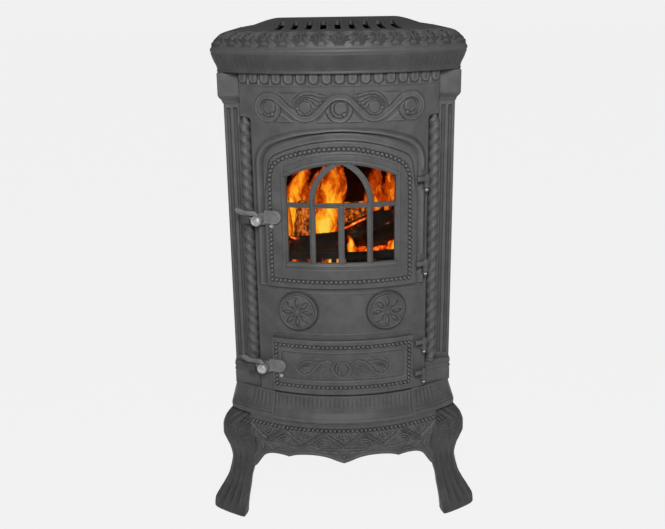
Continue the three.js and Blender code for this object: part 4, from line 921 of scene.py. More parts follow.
APRON_EDGE = quadratic((0, 152), (12, 156), (22, 161), (45, 170), (76, 165), (88, 163), (97, 158), (110, 161),
                       (122, 159.5), (138, 158), (147, 145), (153.5, 134.5), (160, 124), (162, 123), (164, 122))
APRON_OUT = 12  # how far the front apron stands out of the bow
RING_Z, RING_PITCH = 215.0, 7.35
STRAP_PITCH = 33.5


def ring_beads(field, spots):
    """Tall round beads, each in a deep groove of its own."""
    for t, z in spots:
        box = field.near([(t, z)], 6)
        d = np.hypot(field.T[box] - t, (field.Z[box] - z) / 1.3)
        field.h[box] += 1.3 * rounded(np.clip(d / 2.3, 0, 1)) - 2.2 * hump(d, 2.9, 0.62)


def apron_front():
    edge_t = BOW_R * np.arcsin(APRON_EDGE[:, 0] / (BOW_R + APRON_OUT))
    field = Field(steps(-edge_t[-1], edge_t[-1], STEP), steps(122, APRON_TOP, STEP * 0.85))
    T, Z = field.T, field.Z
    low = np.interp(np.abs(T), edge_t, APRON_EDGE[:, 1])
    outline = (low - Z) / np.sqrt(1 + np.gradient(low, field.t, axis=0) ** 2)
    face = 10.6
    field.h[:] = face
    line = np.stack([edge_t, APRON_EDGE[:, 1]], -1)
    line = np.concatenate([line[::-1] * [-1, 1], line[1:]])
    far, _ = field.trace(line, 14)
    field.h += 1.1 * (1 - smooth(4.6, 6.6, far)) + 0.4 * hump(far, 4.0, 0.9)
    field.h -= 0.9 * (1 - smooth(0, 1.4, far))
    field.h += 0.8 * hump(Z, APRON_TOP - 1.5, 1.1)
    ring_beads(field, [(k * RING_PITCH, RING_Z) for k in range(-23, 24)])
    scroll = Field(field.t, field.z, 0.0)
    strapwork(scroll, [k * STRAP_PITCH for k in range(-6, 6)])
    field.h = np.where(scroll.h != 0, face + scroll.h, field.h)
    field.h -= 3.4 * smooth(186, 146, Z)  # the face draws in towards its lower edge
    field.strap([(-36, 179.8), (36, 179.8)], 3.0, 1.2, face, (0.7, 1, 0.7), groove=0.7)
    for side in (-1, 1):
        for a, b, c in (((42, 180), (56, 184), (70, 181)), ((70, 181), (84, 178), (100, 181)),
                        ((7, 170), (14, 174), (22, 174)), ((26, 172), (34, 175), (42, 174)),
                        ((108, 174), (116, 180), (126, 182)), ((124, 168), (132, 176), (140, 180)),
                        ((100, 170), (110, 171), (118, 168)), ((146, 162), (143, 170), (146, 178))):
            field.strap(mirrored(flowing(a, b, c), side), 3.4, 1.2, face, (0.3, 1, 0.9, 0.4), leafy, 0.6)
    field.dots([(0, 166)], 2.6, 1.4, face, 1.0)
    sheet_piece("apron_front_casting", field, on_bow, 4.0, "stove_body", PAINT, ["apron_front"], outline)


def strapwork(field, starts, low=183.5, high=209.0, pitch=STRAP_PITCH):
    """A zigzag of paired straps, with nested arches under each peak and a scroll above each valley."""
    rise = 1.7
    for k, t in enumerate(starts):
        peak, valley, way = (t, t + pitch, 1) if k % 2 else (t + pitch, t, -1)
        bows = [arc(0, 0, reach, 0, 92, 14) * (way, 1) + (peak, low + 1.5) for reach in (13.6, 9.4, 5.2)]
        bows += [arc(0, 0, reach, -92, 0, 12) * (-way, 1) + (valley, high - 2.5) for reach in (10.0, 5.4)]
        for line in bows:
            field.strap(line, 2.7, rise * 0.8, groove=0.6, deep=0.8)
        leaf = flowing((15, high - 3), (18, high - 7), (22, high - 9.5))
        field.strap(leaf * (way, 1) + (peak, 0), 3.2, rise * 0.7, 0.0, (0.3, 1, 0.4), leafy, 0.5)
        for shift in (-2.4, 2.4):
            field.strap([(peak + shift, high), (valley + shift, low)], 2.8, rise * 1.2, groove=0.7, deep=1.3)
    for t in (*starts[::2], starts[-1] + pitch):
        field.dots([(t, high - 3)], 1.9, rise, 0.0, 0.6, 0.7)


def apron_side(side):
    first, last = side_run(-101), side_run(139)
    field = Field(steps(first, last, STEP * 1.2), steps(168, APRON_TOP, STEP))
    T, Z = field.T, field.Z
    share = (T - first) / (last - first)
    low = np.interp(share, [0, 0.12, 0.32, 0.5, 0.68, 0.88, 1], [186, 177, 174, 168.5, 174, 178, 178])
    face = 10.8
    field.h[:] = face
    far = Z - low
    field.h += 1.1 * (1 - smooth(4.6, 5.8, far)) - 0.8 * (1 - smooth(0, 1.2, far))
    field.h += 0.8 * hump(Z, APRON_TOP - 1.5, 1.1)
    ring_beads(field, [(t, RING_Z) for t in np.arange(first + 4, last - 2, RING_PITCH)])
    scroll = Field(field.t, field.z, 0.0)
    strapwork(scroll, np.linspace(first + 4, last - 4, 8)[:-1], 187.0, 209.0, (last - first - 8) / 7)
    field.h = np.where(scroll.h != 0, face + scroll.h, field.h)
    name = "apron_" + SIDE_NAME[side]
    sheet_piece(name + "_casting", field, around_side(side), 5.0, "stove_body", PAINT_SHADED, [name], low - Z,
                flip=side < 0)


# ---------------------------------------------------------------- legs
LEG_SECTIONS = np.array([  # z, x, depth, half width, thickness
    (0, 216, 81, 32, 30), (6, 217, 78, 36, 35), (22, 216, 78, 36.5, 35), (38, 211, 82, 33.5, 33),
    (54, 204.5, 85.5, 29.5, 31), (80, 196.5, 84, 25, 29), (112, 188.5, 73, 25.5, 30), (130, 185.5, 62, 28.5, 34),
    (145, 184.5, 54, 32, 38), (160, 187, 49, 35, 42), (176, 191, 47, 36, 44), (192, 191, 47, 35.5, 44),
    (207, 188.5, 50, 33, 42), (220, 184, 56, 27, 36), (APRON_TOP, 180, 66, 20, 27),
])
LEG_TURN = math.radians(33)
LEG_IN = 0.2  # keeps the feet inside the solids' box
REAR_IN, REAR_DEPTH = 14, 436  # the rear legs stand in, and mirror the front ones over half this depth
RIB_SHARES = (-0.62, -0.2, 0.24, 0.66)
# the plain sides of a leg's section, as shares of its half width and thickness
LEG_SIDES = np.array([(0.97, -0.2), (0.93, -0.4), (0.8, -0.7), (0.62, -0.93), (0.45, -1.0)])


def curve_through(x, xs, ys):
    """A smooth curve through (xs, ys) that doesn't overshoot."""
    h, d = np.diff(xs), np.diff(ys) / np.diff(xs)
    both = np.where(d[:-1] * d[1:] > 0, 2 * d[:-1] * d[1:] / (d[:-1] + d[1:] + 1e-12), 0)
    m = np.concatenate([[d[0]], both, [d[-1]]])
    k = np.clip(np.searchsorted(xs, x) - 1, 0, len(h) - 1)
    u = (x - xs[k]) / h[k]
    return ((1 + 2 * u) * (1 - u) ** 2 * ys[k] + u * (1 - u) ** 2 * h[k] * m[k]
            + u * u * (3 - 2 * u) * ys[k + 1] + u * u * (u - 1) * h[k] * m[k + 1])


def knee_field():
    """Relief on the knee, over u (towards the apron is negative) and z: beads, a leaf band and scrolls."""
    field = Field(steps(-40, 40, 0.8 * STEP), steps(120, APRON_TOP, 0.8 * STEP))
    ring_beads(field, [(-35 + k * RING_PITCH, 208 + 0.6 * k) for k in range(5)])
    high = 1.7
    for points, width in (
        (flowing((12, 199), (4, 207), (-5, 215), (-14, 223)), 5.0),
        (flowing((20, 203), (15, 211), (8, 217), (0, 223)), 3.6),
        (arc(-12, 190, (7.5, 4.6), 190, -120, 26), 3.2),
        (arc(10, 189, (9.5, 5.5), 20, 300, 26), 3.2),
        (flowing((-33, 193), (-28, 187), (-21, 182), (-12, 179)), 3.6),
        (flowing((-30, 190), (-24, 183), (-15, 178), (-6, 178)), 3.4),
        (flowing((24, 192), (26, 184), (22, 177), (14, 173)), 3.4),
        (flowing((-22, 176), (-26, 168), (-24, 160)), 3.0),
        (flowing((0, 176), (5, 170), (4, 162)), 3.0),
    ):
        field.strap(points, width, high, 0.0, (0.4, 1, 1, 0.6), leafy, 0.7, 0.6)
    for spot in ((-12, 190), (10, 189), (-2, 180), (-14, 170), (18, 166)):
        field.dots([spot], 2.1, high, 0.0, 0.7)
    field.dots([(-16, 150)], 2.6, 2.2, 0.0, 0.8)
    return field


def leg(side, rear, knee):
    name = ("leg_rear_" if rear else "leg_front_") + SIDE_NAME[side]
    z = coarse([0, 8, APRON_TOP], [STEP, STEP * 1.2])
    x, depth, half, thick = (curve_through(z, LEG_SECTIONS[:, 0], LEG_SECTIONS[:, k]) for k in (1, 2, 3, 4))
    front = 1
    if rear:
        x, depth, front = x - REAR_IN, REAR_DEPTH - depth, -1
    share = np.linspace(-1, 1, 91 if STEP < 1.5 else 41)
    inner = np.abs(share)
    ribs = sum(hump(share, at, 0.055) for at in RIB_SHARES)
    rings, cavity = [], []
    for k in range(len(z)):
        shaft = smooth(6, 26, z[k]) * (1 - smooth(128, 158, z[k]))
        foot = 1 - smooth(8, 40, z[k])
        recess = 2.1 - 1.3 * foot + 1.6 * share**2 - 1.5 * ribs * shaft
        recess += 0.7 * shaft * np.cos(2 * np.pi * share / 0.44)
        recess += (3.4 - 1.9 * foot) * smooth(0.8, 1.0, inner) ** 1.6
        relief = sample(knee, share * half[k], np.full_like(share, z[k])) if z[k] > 122 else 0 * share
        recess = recess - relief * (1 - smooth(0.86, 0.95, inner))
        recess += 1.0 * (1 - smooth(0, 4, z[k]))
        recess = np.maximum(recess, 0)
        u = share * half[k]
        u = np.concatenate([u, LEG_SIDES[:, 0] * half[k], -LEG_SIDES[::-1, 0] * half[k]])
        d = np.concatenate([-recess, LEG_SIDES[:, 1] * thick[k], LEG_SIDES[::-1, 1] * thick[k]])
        y = FACE + depth[k] + front * (math.sin(LEG_TURN) * u - math.cos(LEG_TURN) * d)
        px = side * (x[k] - LEG_IN + math.cos(LEG_TURN) * u + math.sin(LEG_TURN) * d)
        rings.append(xyz(px, y, z[k]))
        # painted highlight on the ribs and the knee's raised work, slight painted shade on the plain face
        painted_relief_light = np.clip((ribs * shaft + relief) * 0.8 - 0.15, -1, 1)
        cavity.append(np.concatenate([painted_relief_light, np.zeros(2 * len(LEG_SIDES))]))
    rings = np.array(rings)
    if side * front < 0:
        rings = rings[:, ::-1]
        cavity = [c[::-1] for c in cavity]
    loft_piece(name + "_casting", rings, "stove_body", PAINT_SHADED, [name], cavity=np.array(cavity), sharp=60)


# ---------------------------------------------------------------- corner posts and twisted columns
def rounded_box(x0, x1, y0, y1, radius):
    """A rectangle with round corners, counter-clockwise from the right end of its low-y side."""
    ring = []
    for cx, cy, first in ((x1 - radius, y0 + radius, -90), (x1 - radius, y1 - radius, 0),
                          (x0 + radius, y1 - radius, 90), (x0 + radius, y0 + radius, 180)):
        ring += arc(cx, cy, radius, first, first + 90, 4).tolist()
    return np.array(ring)


def box_loft(name, side, levels):
    """A stack of rounded rectangles: (z, x0, x1, y0, y1, radius) each."""
    rings = []
    for z, x0, x1, y0, y1, radius in levels:
        ring = rounded_box(x0, x1, y0, y1, radius)
        rings.append(xyz(side * ring[:, 0], ring[:, 1], z))
    rings = np.array(rings)
    if side < 0:
        rings = rings[:, ::-1]
    loft_piece(name, rings, "stove_body", PAINT, sharp=35)


def corner_post(side):
    name = "corner_post_" + SIDE_NAME[side]
    y_face, y_back = FACE + 68, FACE + 92
    # pilaster: its fluted face is a sheet, x across and z up
    inner, outer = 160.2, 187
    levels = coarse([BODY_LOW, POST_BASE_TOP, 345, 740, 777, BODY_TOP], [4, 1, 4, 1, 4])
    field = Field(steps(inner, outer, STEP * 0.7), levels)
    T, Z = field.T, field.Z
    for x in (168.5, 179.5):
        groove = np.maximum(np.abs(Z - 541.5) - 213.5, 0)
        away = np.hypot(T - x, groove) - 3.3
        field.h = np.minimum(field.h, -2.4 * rounded(np.clip((away + 3.3) / 3.3, 0, 1)))
        field.h += 0.35 * hump(away, 0.9, 0.7)
    field.h -= 0.8 * (1 - smooth(0, 1.0, outer - T)) + 0.8 * (1 - smooth(0, 1.0, T - inner))
    place = lambda t, z, off: xyz(side * t, y_face - off, z)
    sheet_piece(name + "_shaft", field, place, -24.0, "stove_body", PAINT, [name], flip=side < 0)
    y_cap = y_face - 8
    box_loft(name + "_capital", side, [
        (764.6, 161.9, 187.6, y_face - 0.5, y_back, 0.8), (765.8, 161.6, 188.6, y_face - 1.4, y_back, 0.9),
        (767, 161.6, 188.6, y_face - 1.4, y_back, 0.9), (769, 161.0, 189.4, y_face - 2.4, y_back, 1.0),
        (771.6, 160.6, 191.0, y_face - 4.0, y_back, 1.1), (774, 160.2, 193.2, y_face - 6.0, y_back, 1.2),
        (776, 160.0, 194.2, y_face - 7.2, y_back, 1.2), (776.6, 160.0, 194.3, y_face - 7.3, y_back, 1.2),
        (777.4, 160.0, 195.0, y_cap, y_back, 1.4), (812.6, 160.0, 195.0, y_cap, y_back, 1.4),
        (BODY_TOP, 160.9, 194.1, y_cap + 0.9, y_back, 0.8)])
    base = np.array([(143.4, 45), (166, 57), (188.5, 64), (188.5, 92), (162.5, 92), (162.5, 78), (143.4, 78)])
    centre = base.mean(0)
    rings = []
    for z, out in ((BODY_LOW, 0.0), (298, 0.0), (299, -0.8), (300.6, -0.8), (302, 0.6), (304.5, 0.6),
                   (306, -1.6), (309, -1.6), (310.5, 0.2), (316, 0.2), (POST_BASE_TOP, -1.8)):
        ring = base + out * (base - centre) / np.linalg.norm(base - centre, axis=1)[:, None]
        rings.append(xyz(side * ring[:, 0], FACE + ring[:, 1], z))
    rings = np.array(rings)
    loft_piece(name + "_base", rings if side > 0 else rings[:, ::-1], "stove_body", PAINT, sharp=30)
    for part, section in (("_wall", (137.8, 163.5, FACE + 71, FACE + 78, 0.5)),
                          ("_fin", (137.8, 143.6, FACE + 49.2, FACE + 71.5, 0.8))):
        box_loft(name + part, side, [(BODY_LOW, *section), (BODY_TOP, *section)])


def twist_column(side):
    """A two-strand twist: each strand is a leaf with a rib along its middle, over a turned collar."""
    name = "twist_column_" + SIDE_NAME[side]
    foot, tip, pitch = POST_BASE_TOP + 0.3, 745, 36
    x, y = side * 152.2, FACE + 52.5  # its axis
    z = steps(foot, tip, 1.2 if STEP < 1.5 else 3)
    angle = full_turn(48)
    rings, cavity = [], []
    for height in z:
        turn = side * 2 * np.pi * (height - foot) / pitch
        lobe = np.abs(np.cos(angle - turn))
        rib = hump(lobe, 1, 0.05) * 0.6 - 0.5 * hump(lobe, 0.86, 0.07)
        rib += 0.35 * np.cos(2 * np.pi * height / 4.5 + 3 * angle) * smooth(0.3, 0.7, lobe)
        spread = 2.0 * lobe + np.sqrt(7.2**2 - (2.0**2) * (1 - lobe**2)) + rib
        taper = min(1.0, 0.35 + (tip - height) / 16)
        collar = 1 - smooth(323, 326, height)
        bands = 0.7 * hump(height, 320.2, 1.1) - 0.8 * hump(height, 323.6, 0.9)
        r = np.minimum(spread, 9.7) * taper * (1 - collar) + (7.8 + bands) * collar
        rings.append(xyz(x + r * np.cos(angle), y + r * np.sin(angle), height))
        # painted shade in the furrows between the strands, painted highlight on their crests
        cavity.append((spread - 7.8) * 0.35)
    loft_piece(name + "_rope", rings, "stove_body", PAINT, [name], cavity=np.array(cavity), sharp=70)


# ---------------------------------------------------------------- the pierced lid
LIP_OFF, LIP_Z = 18.0, 852.0
LID_CENTRE = (0.0, (FACE + 174) / 2)
SLOTS = [(k - 4) * 24.6 for k in range(9)]
SLOT_FRONT, SLOT_BACK, SLOT_R = FACE + 65, FACE + 300, 5.25
LID_HALF = 205  # from the lid's centre to its lip; insets are shares of it
BORDER, LID_THICK = 34.0, 6.5


def lid_height(x, y, inset):
    depth = y - FACE
    climb = np.clip((depth - 60) / 285, 0, 1) ** 4
    rise = climb * (1 - smooth(350, 400, depth))
    side = 1 - smooth(106, 180, np.abs(x))
    return LIP_Z + 25 * (1 - np.exp(-np.maximum(inset, 0) / 13)) + 15.6 * side * rise


def lid_inset(x, y):
    """How far a point is in from the lip along the ray from the lid's centre."""
    lip = OUTLINE[:, :2] + LIP_OFF * OUTLINE[:, 2:] - LID_CENTRE
    angle, reach = np.arctan2(lip[:, 1], lip[:, 0]), np.hypot(*lip.T)
    order = np.argsort(angle)
    a = np.arctan2(y - LID_CENTRE[1], x - LID_CENTRE[0])
    edge = np.interp(a, angle[order], reach[order], period=2 * np.pi)
    return LID_HALF * (1 - np.hypot(x - LID_CENTRE[0], y - LID_CENTRE[1]) / edge)


def lid_border():
    """Relief that runs round the lid inside the lip, over run and inset: repeated scrolls and leaves."""
    field = Field(steps(-HALF_RUN, HALF_RUN, 1.1 * STEP), steps(0, BORDER, 0.7 * STEP))
    count = 2 * round(HALF_RUN / 29.0)
    pitch = 2 * HALF_RUN / count
    high = 2.8
    for k in range(count):
        t = -HALF_RUN + (k + 0.5) * pitch
        side = 1 if t > 0 else -1
        shape = [
            (flowing((-9, 10), (-7, 16), (-2, 20), (4, 19.5), (7, 16), (5, 12), (1, 11.5)), 3.6, (0.4, 1, 1, 0.8)),
            (flowing((-4, 4.6), (2, 6.4), (7, 9.5), (11, 14), (13, 19)), 3.0, (0.5, 1, 1, 0.4)),
            (flowing((-13, 8), (-13.5, 14), (-11, 20), (-6, 24), (0, 25.5)), 3.0, (0.4, 1, 1, 0.4)),
            (flowing((-3, 29), (2, 27), (7, 27.4), (11, 25)), 2.8, (0.4, 1, 0.5)),
            (flowing((12, 27), (15, 23), (15.5, 19)), 2.8, (0.4, 1, 0.5)),
            (flowing((-7, 3.0), (-1, 2.6), (4, 3.0)), 2.8, (0.6, 1, 0.6)),
            (flowing((8, 4.0), (11.5, 4.6), (15, 4.0)), 2.8, (0.8, 1, 0.8)),
        ]
        for points, width, taper in shape:
            field.strap(mirrored(points, side, t), width, high, taper=taper, groove=0.6)
        field.dots([(t + side * 2.2, 15.2)], 2.0, high * 1.2, 0.0, 0.6)
        field.dots([(t - side * 9.5, 25.5)], 1.6, high, 0.0, 0.5)
    field.line([(-HALF_RUN, 31.8), (HALF_RUN, 31.8)], 1.8, 0.9)
    return field


def sample(field, t, z):
    """The field's height at free points, by straight blending between grid points."""
    i = np.clip(np.searchsorted(field.t, t) - 1, 0, len(field.t) - 2)
    j = np.clip(np.searchsorted(field.z, z) - 1, 0, len(field.z) - 2)
    u = np.clip((t - field.t[i]) / (field.t[i + 1] - field.t[i]), 0, 1)
    v = np.clip((z - field.z[j]) / (field.z[j + 1] - field.z[j]), 0, 1)
    h = field.h
    return ((1 - u) * (1 - v) * h[i, j] + u * (1 - v) * h[i + 1, j]
            + (1 - u) * v * h[i, j + 1] + u * v * h[i + 1, j + 1])


def slot_outline(x, y):
    """Below zero inside one of the lid's nine slots."""
    middle, half = (SLOT_FRONT + SLOT_BACK) / 2, (SLOT_BACK - SLOT_FRONT) / 2 - SLOT_R
    return np.minimum.reduce([
        np.hypot(x - s, np.maximum(np.abs(y - middle) - half, 0)) - SLOT_R for s in SLOTS])


def lid():
    border = lid_border()
    # the crown inside the border: a sheet over x and y
    across = np.array([0, 2, 4.2, 5.25, 6.2, 7.2, 9])
    fine = [s + np.concatenate([-across[:0:-1], across]) for s in SLOTS] + [steps(-175, -107, 3), steps(107, 175, 3)]
    fine = np.unique(np.round(np.concatenate(fine), 3))
    rows = coarse([-195, SLOT_FRONT - 4, SLOT_FRONT + 10, SLOT_BACK - 10, SLOT_BACK + 4, 168], [2.5, 1, 3, 1, 2.5])
    field = Field(fine, rows)
    X, Y = field.T, field.Z
    inset = lid_inset(X, Y)
    away = slot_outline(X, Y)
    field.h = lid_height(X, Y, inset) + 1.1 * hump(away, 1.6, 1.1)
    outline = np.maximum(BORDER - 2 - inset, -away)
    back = lid_height(X, Y, inset) - LID_THICK
    sheet_piece("lid_crown", field, xyz, back, "lid", PAINT_SHADED, ["pierced_lid"], outline)

    # the lip, border and fluted skirt: a sweep round the body
    runs = coarse([-HALF_RUN, -200, 200, HALF_RUN], [1.8 * STEP, 1.2 * STEP, 1.8 * STEP])
    rings, cavity = [], []
    px, py, nx, ny = (np.interp(runs, RUN, OUTLINE[:, k]) for k in range(4))
    size = np.hypot(nx, ny)
    nx, ny = nx / size, ny / size
    lx, ly = px + LIP_OFF * nx, py + LIP_OFF * ny

    # relief here is a level of painted light: above zero a painted highlight, below zero painted shade
    def ring(off, z, relief=0.0):
        rings.append(xyz(px + off * nx, py + off * ny, z))
        cavity.append(relief + 0 * px)

    def inward(inset, drop=0.0, relief=True):
        s = 1 - inset / LID_HALF
        x, y = LID_CENTRE[0] + s * (lx - LID_CENTRE[0]), LID_CENTRE[1] + s * (ly - LID_CENTRE[1])
        extra = sample(border, runs, np.full_like(runs, inset)) if relief else 0 * x
        rings.append(xyz(x, y, lid_height(x, y, inset) - drop + extra))
        # the border painted darker overall, its raised strokes lighter as a painted highlight
        cavity.append(extra * 0.9 - 0.35 if relief else extra)

    inward(BORDER + 4, LID_THICK, False)
    inward(20, LID_THICK, False)
    for off, z in ((9, 844), (8, 834), (0, 822), (-3, 814), (7, 814), (8.8, 814.8), (9, 816.4), (8.4, 817.6),
                   (8.2, 818.6)):
        ring(off, z)
    wave = flutes(runs, 9.0, 0.42, 0.3) * (0.35 + 0.65 * smooth(60, 190, np.abs(runs)))
    for z in steps(819.4, 843.2, 2.0):
        off = float(curve_through(np.array([z]), np.array([818.6, 823, 830, 837, 843.2]),
                                  np.array([8.2, 9.6, 13, 15.9, 17.6]))[0])
        fade = float(smooth(819, 823, z) * (1 - smooth(838, 842, z)))
        # the flutes' grooves painted darker: painted shade
        ring(off + wave * fade, z, wave * fade)
    # the rounded lip painted lighter: a painted highlight
    for off, z in [(17.2, 844.2), (17.4, 844.8), (18.1, 845.8), (18.4, 847.2), (18.3, 849.0), (17.9, 850.4),
                   (17.1, 851.6), (16.0, 852.4)]:
        ring(off, z, 0.9)
    for inset in steps(2.2, BORDER, 0.7 * STEP):
        inward(inset)
    inward(BORDER + 1.0)
    rings = np.array(rings)[:, :-1]
    cavity = np.array(cavity)[:, :-1]
    loft_piece("lid_rim", rings, "lid", PAINT_SHADED, ["pierced_lid"], caps=False, cavity=cavity, sharp=50)


# ---------------------------------------------------------------- rosettes and latches
def local_frame(t, z):
    """Places (u, v, n) of a plane that touches the bow at (t, z): u right, v up, n out."""
    angle = t / BOW_R
    right = np.array([math.cos(angle), math.sin(angle), 0])
    out = np.array([math.sin(angle), -math.cos(angle), 0])
    origin = np.array([BOW_R * math.sin(angle), BOW_Y - BOW_R * math.cos(angle), z])
    far = np.multiply.outer
    return lambda u, v, n: origin + far(u, right) + far(n, out) + far(v, np.array([0, 0, 1.0]))


def petal_outline(u, v, length=8.25, half=3.2):
    """Below zero inside one of a ring of eight almond-shaped petals."""
    radius = (length**2 + half**2) / (2 * half)
    best = np.full(np.shape(u), 1e3)
    for a in 2 * np.pi * np.arange(8) / 8:
        x = u * math.cos(a) + v * math.sin(a) - 16.75
        y = -u * math.sin(a) + v * math.cos(a)
        lens = np.maximum(np.hypot(x, y - (radius - half)), np.hypot(x, y + (radius - half))) - radius
        best = np.minimum(best, lens)
    return best


def rosette(side):
    name = SIDE_NAME[side]
    place = local_frame(side * ROSETTE_T, ROSETTE_Z)
    grid = steps(-ROSETTE_R, ROSETTE_R, 0.5 * STEP)
    field = Field(grid, grid, 8.4)
    U, V = field.T, field.Z
    r = np.hypot(U, V)
    away = petal_outline(U, V)
    field.h += 0.5 * hump(r, 28.3, 0.9) - 0.6 * hump(r, 26.8, 0.5)
    field.h -= 0.9 * smooth(28.8, ROSETTE_R, r)
    field.h += 0.6 * hump(away, 2.0, 0.6) - 1.3 * (1 - smooth(0.2, 1.7, away))
    field.h -= 0.5 * hump(r, 7.2, 0.5)
    field.h += 0.55 * (1 - smooth(0.0, 6.6, r))
    sheet_piece("rosette_plate_" + name, field, place, 5.3, "rosette_" + name, PAINT, ["air_rosette_" + name],
                np.maximum(r - ROSETTE_R, np.maximum(-away, 2.9 - r)))
    # raised veins of the boss that show through the petals, below the spinning plate, in the lighter paint: a painted
    # highlight
    grid = steps(-29, 29, 0.5 * STEP)
    vein = Field(grid, grid, 4.2)
    seen = petal_outline(vein.T, vein.Z, 7.6, 2.5)
    vein.h += 0.95 * smooth(0.0, 2.0, -seen)
    sheet_piece("rosette_veins_" + name, vein, place, 3.9, "stove_body", PAINT_LIT, (), seen)


def bar_outline(U, V, x0, y0, r0, x1, y1, r1):
    """Below zero inside a bar with round ends of different radius."""
    length = math.hypot(x1 - x0, y1 - y0)
    ax, ay = (x1 - x0) / length, (y1 - y0) / length
    u, v = (U - x0) * ax + (V - y0) * ay, np.abs(-(U - x0) * ay + (V - y0) * ax)
    b = (r0 - r1) / length
    a = math.sqrt(1 - b * b)
    k = -v * b + u * a
    beside = np.where(k > a * length, np.hypot(u - length, v) - r1, v * a + u * b - r0)
    return np.where(k < 0, np.hypot(u, v) - r0, beside)


def latch(prefix, door_body, arm_body):
    place = local_frame(LATCH_T, LATCH_Z[prefix])
    # plate: a low tail under the bolt and a raised strap with a round end, rimmed there
    field = Field(steps(-21, 31, 0.6 * STEP), steps(-9, 19.6, 0.6 * STEP), 11.4)
    U, V = field.T, field.Z
    tail = bar_outline(U, V, BOLT_U, 1, 9.5, 20, 8, 10.5)
    strap = np.where(U > 19, np.hypot(U - 19, V - 7) - 10.6, np.maximum(np.abs(V - 7) - 10.6, 1.2 - U))
    inside = -np.minimum(tail, strap)
    field.h -= 2.2 * smooth(0, 0.7, strap) + 0.9 * (1 - smooth(0, 1.2, -strap)) ** 2 * (strap < 0)
    for line in (2.6, 5.4):
        field.h -= 0.7 * hump(strap, -line, 0.6) * smooth(12, 18, U)
    sheet_piece(prefix + "_latch_plate_cast", field, place, 7.3, door_body, PAINT_WORN_AND_LIT,
                [prefix + "_latch_plate"], -inside)
    # lever: a hub, a lobe beside it and a thick rounded handle, a little hollow along its top
    field = Field(steps(-58, -1, 0.6 * STEP), steps(-10, 27, 0.6 * STEP), 16.2)
    U, V = field.T, field.Z
    spine = flowing((BOLT_U - 2, 7), (-17, 10.6), (-26, 10.4), (-34, 10.4), (-42, 12.2), (-48.5, 14.6))
    far, share = field.trace(spine, 9)
    half = np.interp(share, [0, 0.25, 0.6, 0.9, 1], [4.4, 4.3, 4.3, 4.5, 4.1])
    hub = np.hypot(U - BOLT_U, V) - 9
    lobe = np.hypot(U + 27, V + 0.5) - 6.2
    joined = bar_outline(U, V, -27, -0.5, 4.6, BOLT_U, 0, 6)
    inside = -np.minimum(np.minimum(far - half, hub), np.minimum(lobe, joined))
    field.h -= 2.4 * (1 - rounded(np.clip(1 - inside / 3.9, 0, 1)))
    field.h -= 1.6 * smooth(-1.0, 1.0, far - half) * (hub > 0)
    field.h -= 0.5 * hump(hub, -1.6, 0.6)
    sheet_piece(prefix + "_latch_lever_cast", field, place, 11.8, arm_body, PAINT_WORN_AND_LIT, [prefix + "_latch_lever"],
                np.maximum(-inside, 4.4 - np.hypot(U - BOLT_U, V)))
    # bolt: a turned head with a rolled rim and a low domed face on its shank
    angle = full_turn(40)
    rings = []
    for r, n in ((4, 7.2), (4, 16.6), (8.2, 16.6), (8.6, 17.0), (8.7, 18.6), (8.4, 19.6), (7.9, 20.1), (7.3, 20.1),
                 (6.8, 19.7), (5.6, 20.2), (4.0, 20.7), (2.2, 21.0), (0.6, 21.1)):
        rings.append(place(BOLT_U + r * np.cos(angle), r * np.sin(angle), np.full_like(angle, n)))
    loft_piece(prefix + "_latch_bolt_turned", rings, door_body, BOLT, [prefix + "_latch_bolt"])
    # the bright nib under the plate, a small worn star
    at_u, at_v = (12.0, -8.2) if prefix == "door" else (21.0, -10.2)
    star = Field(steps(at_u - 5, at_u + 5, 0.5 * STEP), steps(at_v - 5, at_v + 5, 0.5 * STEP), 8.2)
    U, V = star.T - at_u, star.Z - at_v
    turn, away = np.arctan2(V, U), np.hypot(U, V)
    rim = 3.1 + 1.2 * np.cos(5 * turn)
    star.h += 1.5 * rounded(np.clip(away / 4.4, 0, 1)) - 0.9 * hump(away, 0, 1.2)
    sheet_piece(prefix + "_latch_nib", star, place, 6.2, door_body, BOLT, (), away - rim)
    softened(prefix + "_latch_keeper", 0.9, PAINT_SHADED)


# ---------------------------------------------------------------- inside and small parts
EDGE_WIDTHS = dict(  # how wide the edges of the plain castings and small parts are rounded
    base_plate=0.8, apron_rear=1.2, side_panel_left=1.0, side_panel_right=1.0, back_panel=1.2, flue_collar=0.8,
    top_plate=0.8, hob_lid=0.6, fire_bed=0.8, grate=0.7, firebrick_left=1.6, firebrick_right=1.6,
    firebrick_back=1.6, baffle_plate=0.8, log_guard=0.8, ash_pan=0.5, glass_clip_left=0.4, glass_clip_right=0.4,
    glass_gasket=0.6, door_glass=0.3, door_hinge_pin_1=0.4, door_hinge_pin_2=0.4, ash_hinge_pin_1=0.4,
    ash_hinge_pin_2=0.4, rosette_screw_left=0.5, rosette_screw_right=0.5, tie_rod_front_left=0.4,
    tie_rod_front_right=0.4, tie_rod_rear_left=0.4, tie_rod_rear_right=0.4, ash_pan_knob=0.4)


